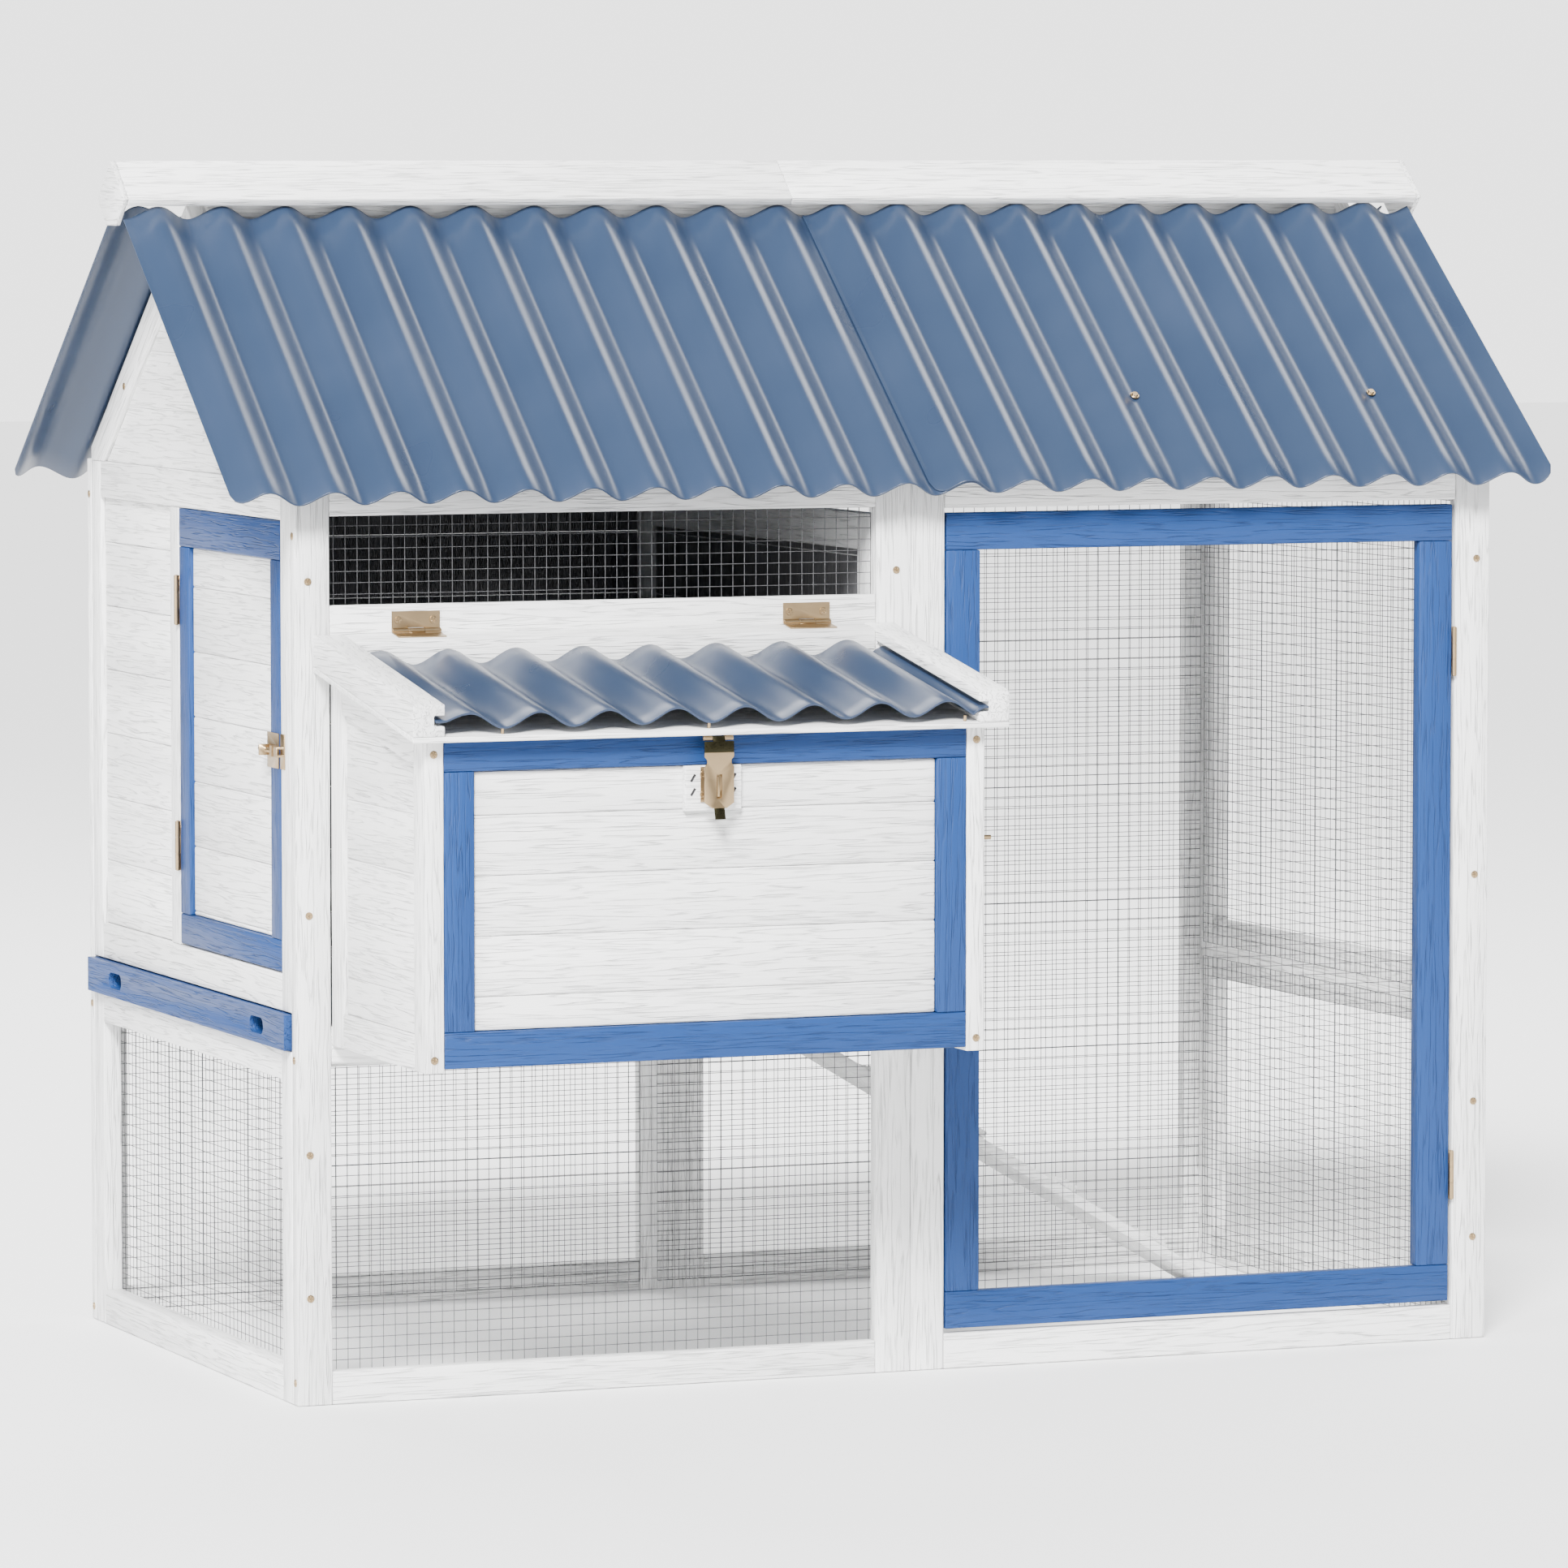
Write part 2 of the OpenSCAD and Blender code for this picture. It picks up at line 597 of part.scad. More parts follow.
front_x0 = nest_x0 + nest_side + fit;
front_x1 = nest_x1 - nest_side - fit;
front_z0 = nest_z + 3.9;
front_z1 = lid_under(-nest_out) - 0.5;
front_rail_z = front_z0 + 36;
front_rail_top = front_z1 - 33;
nest_front_t = 15;
module nest_front_frame() color(paint_blue) place() {
    y0 = -nest_out;
    y1 = y0 + nest_front_t;
    block([front_x0, y0, front_z0], [front_x1, y1, front_rail_z]);
    block([front_x0, y0, front_rail_top], [front_x1, y1, front_z1]);
    block([front_x0, y0, front_rail_z + fit], [front_x0 + rail_h - 6, y1, front_rail_top - fit]);
    block([front_x1 - rail_h + 6, y0, front_rail_z + fit], [front_x1, y1, front_rail_top - fit]);
}
module nest_front_boards() color(paint_white) place()
    siding(front_rail_z + fit, front_rail_top - fit, nest_seam, nest_board_h,
        [front_x0 + rail_h - 6 + fit, -nest_out + board_set],
        [front_x1 - rail_h + 6 - fit, -nest_out + board_set + board_t]);

nest_floor_z = nest_z + 9;
module nest_floor() color(paint_white) place()
    block([front_x0, -nest_out + nest_front_t + fit, nest_floor_z], [front_x1, nest_back, nest_floor_z + 9]);

module nest_divider() color(paint_white) place() {
    x = (nest_x0 + nest_x1) / 2;
    y0 = -nest_out + nest_front_t + fit;
    z0 = nest_floor_z + 9 + fit;
    along_x(x - 4.5, x + 4.5, [[y0, z0], [nest_back, z0], [nest_back, lid_under(nest_back) - 60], [y0, lid_under(y0) - 30]]);
}

// Lock: block on the front boards, and a staple that reaches through the hasp's slot
staple_z = hasp_axis_z - 48.5;
block_out = nest_out + 3;
module lock_block() color(paint_white) place()
    block([hasp_x - 30.5, -block_out, staple_z - 25], [hasp_x + 30.5, -nest_out + board_set - 0.1, front_rail_top - 0.5]);

module lock_staple() color(brass) place() {
    y1 = -block_out - 0.1;
    difference() {
        block([hasp_x - 14, y1 - 1.2, staple_z - 16.2], [hasp_x + 14, y1, staple_z + 19.2]);
        for (x = [-11, 11], z = [-8.4, 11.6])
            translate([hasp_x + x, y1 + 1, staple_z + z]) rotate([90, 0, 0]) cylinder(h = 3, r = 1.5, $fn = 24);
    }
    for (z = [-10, 8.4]) block([hasp_x - 1.2, -staple_out + 0.8, staple_z + z], [hasp_x + 1.2, y1 - 0.6, staple_z + z + 1.6]);
    block([hasp_x - 1.2, -staple_out, staple_z - 10], [hasp_x + 1.2, -staple_out + 1.6, staple_z + 10]);
}

// ---------- hinges ----------

// Door hinge on a gap beside a post at the front: the plates stand in the gap
module run_leaf(outer) {
    for (z = run_hinges_z) translate([run_axis_x, run_axis_y, z]) {
        knuckles(outer);
        translate([outer ? 0.7 : -0.7 - leaf_t, knuckle_r - 1.2, -leaf_w / 2]) hinge_plate(outer);
    }
}
// Plate of a leaf in the plane of its own X thickness, cut away at the other leaf's knuckles
module hinge_plate(outer) {
    third = leaf_w / 3;
    difference() {
        cube([leaf_t, 15, leaf_w]);
        if (outer) translate([-1, -1, third]) cube([leaf_t + 2, 2.6, third]);
        else for (z = [-1, 2 * third]) translate([-1, -1, z]) cube([leaf_t + 2, 2.6, third + 1]);
    }
}
module side_leaf(outer) {
    for (z = side_hinges_z) translate([side_axis_x, side_axis_y, z]) {
        knuckles(outer);
        translate([knuckle_r - 1.2, outer ? 0.7 + leaf_t : -0.7, -leaf_w / 2]) rotate([0, 0, -90]) hinge_plate(outer);
    }
}
// Lid hinge: the fixed leaf stands on the wall, the moving leaf lies on the lid's back rail
module lid_leaf(fixed) {
    third = leaf_w / 3;
    for (x = lid_hinges_x) translate([x, lid_axis_y, lid_axis_z]) {
        rotate([0, 90, 0]) knuckles(fixed);
        if (fixed)
            difference() {
                translate([-leaf_w / 2, knuckle_r - leaf_t + 0.3, -1]) cube([leaf_w, leaf_t, leaf_l + 2]);
                translate([-third / 2, -1, -2]) cube([third, 6, 5.4]);
            }
        else
            rotate([lid_angle, 0, 0]) difference() {
                translate([-leaf_w / 2, -leaf_l - 1, -knuckle_r + 0.05]) cube([leaf_w, leaf_l, leaf_t]);
                for (s = [-1, 1]) translate([s * third - third / 2 - (s < 0 ? 1 : 0), -3.4, -4]) cube([third + 1, 6, 8]);
            }
    }
}

module fixed_hinge_leaves() color(brass) place() {
    run_leaf(true);
    for (z = run_hinges_z) translate([run_axis_x, run_axis_y, z]) hinge_pin();
    side_leaf(true);
    for (z = side_hinges_z) translate([side_axis_x, side_axis_y, z]) hinge_pin();
    lid_leaf(true);
    for (x = lid_hinges_x) translate([x, lid_axis_y, lid_axis_z]) rotate([0, 90, 0]) hinge_pin();
}

// ---------- barrel bolts ----------

// Local frame: the bolt slides along +X out of its keeper; Y is out of the door's face.
// l and h are the length and height of the bolt's plate.
module bolt_plate(l, h) {
    difference() {
        union() {
            translate([4, 0.1, -h / 2]) cube([l, 1, h]);
            for (x = [4.5, l - 2.5]) translate([x, 0.8, -5.5]) cube([6, 7.7, 11]);
        }
        translate([0, 4.6, 0]) rotate([0, 90, 0]) cylinder(h = l + 10, r = bolt_r + 0.1, $fn = 24);
    }
}
// The bolt is drawn with its tip out of the keeper
module bolt_rod(l) {
    translate([bolt_travel - 14, 4.6, 0]) rotate([0, 90, 0]) cylinder(h = l + 17, r = bolt_r, $fn = 24);
    translate([l - 6, 5, -5.5]) cube([3, 8, 11]);
}
module bolt_keeper(h) {
    translate([-15, 0.1, -h / 2]) cube([13, 1, h]);
    difference() {
        translate([-13, 0.8, -5.1]) cube([9, 8.2, 10.2]);
        translate([-14, 1.1, -3.1]) cube([11, 6.7, 6.2]);
    }
}
// On the left wall the bolt slides back along +Y; on the run door it slides along +X
module at_side_bolt() translate([0, side_door_y - 0.5, side_bolt_z]) rotate([0, 0, 90]) children();
module at_run_bolt() translate([run_door_x0 - 0.5, 0, run_bolt_z]) mirror([0, 1, 0]) children();

module bolt_keepers() color(brass) place() {
    at_side_bolt() bolt_keeper(side_bolt_h);
    at_run_bolt() bolt_keeper(run_bolt_h);
}

// ---------- visible screws ----------

front_screws_z = [110, 257, 502, 842];
module frame_screws() color(brass) place() {
    for (z = front_screws_z) {
        screw_front(14, z);
        screw_front(body_w - 15.6, z);
    }
    screw_front(mid_post_x + 22.7, front_screws_z[3]);
    for (z = [nest_z + 13, lid_under(-nest_out) - 16], x = [nest_x0 + 9, nest_x1 - 9]) screw_front(x, z, -nest_out);
    for (z = [23, lower_h - 8, 888]) screw_left(7.5, z);
    for (z = [14, lower_h - 14, 905]) screw_left(body_d - 7.5, z);
    screw_left(mid_y + 217, rake_under(mid_y + 217) + 22);
}

// ---------- run door ----------

module run_door_frame() color(paint_blue) place() {
    z1 = door_top - 2.4;
    x0 = run_door_x0;
    x1 = run_door_x1;
    block([x0, 0, run_door_z], [x1, run_door_t, run_door_z + run_rail_h]);
    block([x0, 0, z1 - run_rail_h], [x1, run_door_t, z1]);
    for (x = [x0, x1 - run_stile_w])
        block([x, 0, run_door_z + run_rail_h + fit], [x + run_stile_w, run_door_t, z1 - run_rail_h - fit]);
}
module run_door_mesh() color(wire_grey) place()
    block([run_door_x0 + 14, run_door_t + 0.1, run_door_z + 14],
        [run_door_x1 - 14, run_door_t + 0.1 + mesh_t, door_top - 2.4 - 14]);
module run_door_fittings() color(brass) place() {
    run_leaf(false);
    at_run_bolt() bolt_plate(run_bolt_l, run_bolt_h);
}
module run_door_bolt() color(brass) place() at_run_bolt() bolt_rod(run_bolt_l);

// ---------- side door ----------

module side_door_frame() color(paint_blue) place() {
    y0 = side_door_y;
    y1 = door_y1;
    block([0, y0, side_door_z0], [side_door_t, y1, side_door_z0 + side_rail_h]);
    block([0, y0, side_door_z1 - side_rail_h - 8], [side_door_t, y1, side_door_z1]);
    for (y = [y0, y1 - side_rail_h])
        block([0, y, side_door_z0 + side_rail_h + fit], [side_door_t, y + side_rail_h, side_door_z1 - side_rail_h - 8 - fit]);
}
module side_door_boards() color(paint_white) place()
    siding(side_door_z0 + side_rail_h + fit, side_door_z1 - side_rail_h - 8 - fit, 546.8, 68.4,
        [board_set, side_door_y + side_rail_h + fit], [board_set + board_t, door_y1 - side_rail_h - fit]);
module side_door_fittings() color(brass) place() {
    side_leaf(false);
    at_side_bolt() bolt_plate(side_bolt_l, side_bolt_h);
}
module side_door_bolt() color(brass) place() at_side_bolt() bolt_rod(side_bolt_l);

// ---------- nest lid and hasp ----------

// A strip of the lid between two heights over its underside, plumb at both ends
module lid_strip(x0, x1, y0, y1, v0, v1)
    along_x(x0, x1, [[y0, lid_under(y0) + v0], [y1, lid_under(y1) + v0], [y1, lid_under(y1) + v1], [y0, lid_under(y0) + v1]]);

groove_low = deck_t + 10.4;
groove_high = groove_low + 10.4;
groove_deep = 11;
module nest_lid_frame() color(paint_white) place() {
    rail_v = deck_t + 0.1;
    top_v = deck_t + lid_rail_h;
    lid_strip(lid_x0, lid_x1, -lid_front, -lid_back, 0, deck_t);
    for (side = [0, 1]) {
        x = side ? lid_x1 - lid_rail_w : lid_x0;
        gx = side ? x - 1 : x + lid_rail_w - groove_deep;
        difference() {
            lid_strip(x, x + lid_rail_w, -lid_front, -lid_back, rail_v, top_v);
            lid_strip(gx, gx + groove_deep + 1, -lid_front - 1, -lid_back - lid_rail_w, groove_low, groove_high);
        }
    }
    lid_strip(lid_x0 + lid_rail_w + fit, lid_x1 - lid_rail_w - fit, -lid_back - lid_rail_w, -lid_back, rail_v, top_v);
}

// Corrugated sheet of the lid, its two edges in the grooves
lid_sheet_x0 = lid_x0 + lid_rail_w - groove_deep + 1;
lid_sheet_x1 = lid_x1 - lid_rail_w + groove_deep - 1;
lid_pitch = 72.9;
lid_low = deck_t + 6.3;                         // underside of the troughs
lid_lip = lid_low + 7.6;                        // underside of the edges
lid_crest = lid_sheet_x0 + 35.7;                // first crest
lid_steps = floor((lid_sheet_x1 - 19 - lid_crest) / lid_pitch * 8);
function lid_sheet_line() = concat(
    [[lid_sheet_x0, lid_lip], [lid_crest - 26, lid_lip], [lid_crest - 18, lid_low + 0.68 * lid_wave_h],
        [lid_crest - 9, lid_low + 0.91 * lid_wave_h]],
    [for (i = [0 : lid_steps]) [lid_crest + i * lid_pitch / 8, lid_low + lid_wave_h * (1 + cos(45 * i)) / 2]],
    [[lid_sheet_x1 - 17, lid_low + 0.6], [lid_sheet_x1 - 10.5, groove_low + 0.8], [lid_sheet_x1, lid_lip + 0.4]]);
module nest_lid_sheet() color(sheet_blue) place() {
    line = lid_sheet_line();
    y1 = -lid_back - lid_rail_w - 1;
    len = (lid_front + y1 - 2) / cos(lid_angle);
    translate([0, y1, lid_under(y1)]) rotate([lid_angle, 0, 0])
        rotate([90, 0, 0]) linear_extrude(len)
            polygon(concat(line, [for (i = [len(line) - 1 : -1 : 0]) line[i] + [0, sheet_t]]));
}

// Moving hinge leaves, the hasp's fixed leaf and the nails that hold the sheet
nail_waves = [0.5, 3.5, 7.3];
module nest_lid_fittings() color(brass) place() {
    lid_leaf(false);
    y = -lid_front + 8;
    for (w = nail_waves)
        translate([lid_crest + w * lid_pitch, y, lid_under(y)]) rotate([lid_angle, 0, 0])
            translate([0, 0, deck_t]) cylinder(h = lid_low - deck_t - 0.3, r = 1.6, $fn = 24);
    translate([hasp_x, hasp_axis_y, hasp_axis_z]) {
        for (x = [-15.7, 6.7]) {
            rotate([0, 90, 0]) difference() {
                translate([0, 0, x]) cylinder(h = 9, r = 2.2, $fn = 24);
                translate([0, 0, x - 1]) cylinder(h = 11, r = hasp_pin_r + 0.06, $fn = 24);
            }
            rotate([lid_angle, 0, 0]) translate([x, 0.6, 1.6]) cube([9, 12, 1.2]);
        }
        rotate([0, 90, 0]) translate([0, 0, -16.2]) cylinder(h = 32.4, r = hasp_pin_r, $fn = 24);
    }
}

// Hasp: hangs from its pin over the staple; the tip is bent out as a finger lift
module hasp_strap() color(brass) place() translate([hasp_x, hasp_axis_y, hasp_axis_z]) {
    back = -hasp_out + hasp_t;
    rotate([0, 90, 0]) difference() {
        translate([0, 0, -6.3]) cylinder(h = 12.6, r = 2.2, $fn = 24);
        translate([0, 0, -7.3]) cylinder(h = 14.6, r = hasp_pin_r + 0.06, $fn = 24);
    }
    along_x(-6.3, 6.3, [[-2.1, 0.3], [-hasp_out, -3.4], [back, -4.6], [-1.4, -1.5]]);
    translate([0, back, 0]) rotate([90, 0, 0]) linear_extrude(hasp_t) difference() {
        polygon([[-15.7, -3.2], [15.7, -3.2], [15.7, -18.4], [13, -21.5], [13, -25], [15.7, -29],
            [15.7, -64.4], [7.6, -70], [-7.6, -70], [-15.7, -64.4], [-15.7, -29], [-13, -25], [-13, -21.5], [-15.7, -18.4]]);
        translate([-2.9, -60.8]) square([5.8, 24.6]);
    }
    along_x(-5.5, 5.5, [[-hasp_out, -69.6], [back, -70], [back - hasp_tip, -81.1], [-hasp_out - hasp_tip, -80.8]]);
}

// ---------- tray ----------

module tray_front() color(paint_blue) place() {
    difference() {
        block([-tray_out, tray_y0, tray_z0], [-tray_out + tray_board_t, tray_y1, tray_z0 + tray_h]);
        for (y = [tray_y0 + 89.5, tray_y1 - 99])
            translate([-tray_out - 1, y, tray_z0 + tray_h / 2]) rotate([90, 0, 90]) linear_extrude(tray_board_t + 2)
                union() {
                    square([slot_len - slot_h, slot_h], center = true);
                    for (s = [-1, 1]) translate([s * (slot_len - slot_h) / 2, 0]) circle(d = slot_h, $fn = 32);
                }
    }
}

// Sheet-metal pan fixed behind the tray's front board, with room for fingers between them
module tray_pan() color("silver") place() {
    x0 = -tray_out + tray_board_t + 0.1;
    x1 = x0 + finger_room;
    z0 = pan_z0;
    z1 = pan_z0 + pan_h;
    block([x0, pan_y0, z0], [pan_x1, pan_y1, z0 + pan_t]);
    block([x1, pan_y0, z0 + pan_t + 0.1], [x1 + pan_t, pan_y1, z1]);
    block([pan_x1 - pan_t, pan_y0, z0 + pan_t + 0.1], [pan_x1, pan_y1, z1]);
    for (y = [pan_y0, pan_y1 - pan_t])
        block([x1 + pan_t + 0.1, y, z0 + pan_t + 0.1], [pan_x1 - pan_t - 0.1, y + pan_t, z1]);
}

front_left_frame();
front_right_frame();
back_left_frame();
back_right_frame();
left_lower_frame();
left_upper_frame();
right_lower_frame();
right_upper_frame();
gable_rakes();
left_gable_boards();
right_gable_boards();
left_wall_boards();
back_wall_boards();
partition_frame();
partition_boards();
vent_mesh();
front_mesh();
back_left_mesh();
back_right_mesh();
left_mesh();
right_meshes();
tray_runners();
ramp_board();
ramp_cleats();
ramp_hooks();
ridge_beam();
roof_purlins();
roof_sheet_front_left();
roof_sheet_front_right();
roof_sheet_back_left();
roof_sheet_back_right();
roof_screws();
ridge_cap_front();
ridge_cap_back();
ridge_end_plates();
nest_side_frames();
nest_side_boards();
nest_front_frame();
nest_front_boards();
nest_floor();
nest_divider();
lock_block();
lock_staple();
fixed_hinge_leaves();
bolt_keepers();
frame_screws();
run_door_frame();
run_door_mesh();
run_door_fittings();
run_door_bolt();
side_door_frame();
side_door_boards();
side_door_fittings();
side_door_bolt();
nest_lid_frame();
nest_lid_sheet();
nest_lid_fittings();
hasp_strap();
tray_front();
tray_pan();
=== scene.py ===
"""Chicken coop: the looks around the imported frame."""

import math

import bmesh
import bpy
import numpy as np
from mathutils import Matrix, Vector


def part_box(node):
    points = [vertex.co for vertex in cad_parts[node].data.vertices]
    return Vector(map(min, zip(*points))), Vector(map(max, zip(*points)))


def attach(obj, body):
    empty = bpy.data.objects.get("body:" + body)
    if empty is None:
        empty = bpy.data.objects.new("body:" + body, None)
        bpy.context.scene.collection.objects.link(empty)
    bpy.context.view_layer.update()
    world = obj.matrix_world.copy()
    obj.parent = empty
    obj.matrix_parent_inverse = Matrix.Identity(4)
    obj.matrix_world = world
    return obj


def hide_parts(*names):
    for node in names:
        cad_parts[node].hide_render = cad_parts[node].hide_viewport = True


bl_info = {
    "name": "Chicken coop",
    "version": (1, 0, 0),
    "blender": (4, 5, 0),
    "location": "View3D > Sidebar > Coop",
    "description": "Timber, wire mesh, corrugated sheets and fittings of a chicken coop",
    "category": "Object",
}

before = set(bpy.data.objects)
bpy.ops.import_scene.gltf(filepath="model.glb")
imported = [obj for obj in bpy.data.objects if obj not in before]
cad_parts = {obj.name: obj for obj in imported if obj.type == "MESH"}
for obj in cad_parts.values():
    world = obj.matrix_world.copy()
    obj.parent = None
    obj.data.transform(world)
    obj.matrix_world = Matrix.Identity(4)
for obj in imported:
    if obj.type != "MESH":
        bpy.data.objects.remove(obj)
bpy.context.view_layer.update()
corner = Vector(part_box("front_left_frame")[0])   # front left bottom corner of the timber body


# ---------- sizes and colours ----------

def size(name, description, default, **more):
    return bpy.props.FloatProperty(name=name, description=description, default=default,
                                   subtype="DISTANCE", unit="LENGTH", precision=5, **more)


def colour(name, description, default):
    return bpy.props.FloatVectorProperty(name=name, description=description, default=default,
                                         subtype="COLOR", size=3, min=0.0, max=1.0)


class TimberLook(bpy.types.PropertyGroup):
    white: colour("White paint", "Paint of the walls and frames", (0.84, 0.84, 0.835))
    blue: colour("Blue paint", "Paint of the doors and of the nest box's front", (0.0115, 0.042, 0.15))
    # inside: a dark paint, painted shade that stands in for the unlit inside of the house
    inside: colour("Inside", "Painted shade: dark paint on the inward faces of the house", (0.13, 0.13, 0.135))
    edge: size("Edge rounding", "Rounding of the edges of frame members", 0.0013)
    board_edge: size("Board edge", "Rounding of the edges of siding boards", 0.0018)
    grain: bpy.props.FloatProperty(name="Grain", description="Depth of the grain under the paint",
                                   default=1.0, min=0.0, max=2.0)


class RoofLook(bpy.types.PropertyGroup):
    sheet: colour("Sheet colour", "Colour of the corrugated sheets", (0.019, 0.033, 0.066))
    slope: bpy.props.FloatProperty(name="Slope", description="Slope of the roof", default=math.radians(38),
                                   subtype="ANGLE", unit="ROTATION")
    pitch: size("Wave width", "Width of one wave of the roof sheets", 0.0696)
    wave: size("Wave height", "Height of one wave of the roof sheets", 0.017)
    thick: size("Sheet thickness", "Thickness of the sheets", 0.002)
    round: size("Corner radius", "Rounding of the lower corners of a sheet", 0.018)


class MeshLook(bpy.types.PropertyGroup):
    across: size("Cell width", "Width of one cell of the welded mesh", 0.0127)
    up: size("Cell height", "Height of one cell of the welded mesh", 0.011)
    wire: size("Wire", "Diameter of the wire", 0.0008)
    tint: colour("Wire colour", "Colour of the wire", (0.07, 0.07, 0.073))


class FittingLook(bpy.types.PropertyGroup):
    brass: colour("Brass", "Colour of hinges, bolts and the hasp", (0.40, 0.29, 0.165))
    head: size("Screw head", "Diameter of a screw head", 0.008)


class StageLook(bpy.types.PropertyGroup):
    floor: colour("Floor", "Colour of the floor", (0.86, 0.86, 0.86))
    sky: bpy.props.FloatProperty(name="Sky", description="Strength of the light from all round", default=0.34)
    backdrop: bpy.props.FloatProperty(name="Backdrop", description="Strength of the backdrop behind the coop",
                                      default=2.8)
    key: bpy.props.FloatProperty(name="Key", description="Strength of the light from the front left",
                                 default=12.5)
    lens: bpy.props.FloatProperty(name="Lens", description="Focal length in millimetres", default=192.2)


LOOKS = {"coop_timber": TimberLook, "coop_roof": RoofLook, "coop_mesh": MeshLook,
         "coop_fittings": FittingLook, "coop_stage": StageLook}


def look(name):
    return getattr(bpy.context.scene, "coop_" + name)


# ---------- helpers ----------

def at(x, y, z):
    """A place given in millimetres from the front left bottom corner of the body."""
    return corner + Vector((x, y, z)) / 1000


def link(obj):
    bpy.context.scene.collection.objects.link(obj)
    return obj


def finish_piece(obj, nodes, body):
    """Give a piece its body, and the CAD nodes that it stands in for."""
    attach(obj, body)
    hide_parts(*nodes)
    return obj


def solid_copy(node):
    """The merged mesh of a CAD node, free of its triangles' inner edges."""
    bm = bmesh.new()
    bm.from_mesh(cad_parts[node].data)
    bmesh.ops.remove_doubles(bm, verts=bm.verts, dist=1e-6)
    bmesh.ops.dissolve_limit(bm, angle_limit=math.radians(0.5), verts=bm.verts, edges=bm.edges)
    return bm


def members(bm):
    """Lists of the faces of each member of a mesh."""
    bm.faces.ensure_lookup_table()
    seen, out = set(), []
    for f in bm.faces:
        if f.index in seen:
            continue
        group, stack = [], [f]
        seen.add(f.index)
        while stack:
            g = stack.pop()
            group.append(g)
            for e in g.edges:
                for h in e.link_faces:
                    if h.index not in seen:
                        seen.add(h.index)
                        stack.append(h)
        out.append(group)
    return out


def plain(obj, name):
    """The evaluated object as a plain mesh object without modifiers."""
    deps = bpy.context.evaluated_depsgraph_get()
    deps.update()
    mesh = bpy.data.meshes.new_from_object(obj.evaluated_get(deps))
    mesh.name = name
    bpy.data.objects.remove(obj)
    return link(bpy.data.objects.new(name, mesh))


SHARP = 30               # degrees from which an edge is rounded
TIMBER_SMOOTH = 35       # degrees below which the faces of timber blend
METAL_SMOOTH = 40        # the same for a fitting
SHEET_SMOOTH = 60        # the same for a corrugated sheet
SHEET_RIM = 0.0007       # rounding of a corrugated sheet's rims, in metres


def rounded(bm, name, width, materials, smooth=TIMBER_SMOOTH, segments=2):
    """A mesh with its edges rounded."""
    mesh = bpy.data.meshes.new(name)
    bm.to_mesh(mesh)
    bm.free()
    for m in materials:
        mesh.materials.append(m)
    obj = link(bpy.data.objects.new(name + "_raw", mesh))
    bevel = obj.modifiers.new("edges", "BEVEL")
    bevel.width, bevel.segments, bevel.limit_method = width, segments, "ANGLE"
    bevel.angle_limit = math.radians(SHARP)
    out = plain(obj, name)
    out.data.shade_smooth()
    out.data.set_sharp_from_angle(angle=math.radians(smooth))
    return out


def soft_rim(obj, name):
    """A sheet with the rims of its four edges rounded."""
    bm = bmesh.new()
    bm.from_mesh(obj.data)
    bpy.data.objects.remove(obj)
    return rounded(bm, name, SHEET_RIM, [material("corrugated sheet")], SHEET_SMOOTH)


def extents(group):
    """The lowest and highest corner of a member."""
    co = np.array([v.co for f in group for v in f.verts])
    return co.min(0), co.max(0)


def longest(group):
    """0, 1 or 2 for the axis along which a member is longest."""
    lo, hi = extents(group)
    return int((hi - lo).argmax())


MEMBER_STEP, NODE_STEP = 0.37, 0.11      # steps that give each member a grain of its own


def timber_piece(node, body, paint, width, axis=None):
    """A CAD node of timber with rounded edges, and grain along each of its members."""
    bm = solid_copy(node)
    layer = bm.faces.layers.float.new("member")
    for i, group in enumerate(members(bm)):
        way = longest(group) if axis is None else axis
        for f in group:
            f.material_index = way
            f[layer] = i * MEMBER_STEP + len(node) * NODE_STEP
    obj = rounded(bm, node + "_timber", width, paint)
    return finish_piece(obj, [node], body)


def metal_piece(node, body, width, metal, segments):
    """A CAD node of metal with its sharp edges broken."""
    obj = rounded(solid_copy(node), node + "_metal", width, [material(metal)], METAL_SMOOTH, segments)
    return finish_piece(obj, [node], body)


# ---------- Geometry Nodes ----------

class Nodes:
    """A node tree under construction."""

    def __init__(self, tree):
        self.tree = tree

    def add(self, kind, *ins, **settings):
        node = self.tree.nodes.new(kind)
        for key, value in settings.items():
            setattr(node, key, value)
        for i, value in enumerate(ins):
            self.feed(node.inputs[i], value)
        return node

    def feed(self, socket, value):
        if isinstance(value, bpy.types.NodeSocket):
            self.tree.links.new(value, socket)
        elif value is not None:
            socket.default_value = value

    def math(self, operation, a, b=0.0):
        return self.add("ShaderNodeMath", a, b, operation=operation).outputs[0]


class Tree(Nodes):
    """A Geometry Nodes tree with named inputs."""

    def __init__(self, name, inputs):
        super().__init__(bpy.data.node_groups.new(name, "GeometryNodeTree"))
        face = self.tree.interface
        face.new_socket("Geometry", in_out="OUTPUT", socket_type="NodeSocketGeometry")
        face.new_socket("Geometry", in_out="INPUT", socket_type="NodeSocketGeometry")
        for key, kind in inputs:
            face.new_socket(key, in_out="INPUT", socket_type="NodeSocket" + kind)
        self.inputs = self.add("NodeGroupInput")
        self.output = self.add("NodeGroupOutput")

    def vector(self, x=0.0, y=0.0, z=0.0):
        return self.add("ShaderNodeCombineXYZ", x, y, z).outputs[0]

    def get(self, key):
        return self.inputs.outputs[key]

    def close(self, geometry):
        """Realize, give the material, and send out."""
        real = self.add("GeometryNodeRealizeInstances", geometry)
        done = self.add("GeometryNodeSetMaterial", real.outputs[0], None, self.get("Material"))
        self.feed(self.output.inputs[0], done.outputs[0])


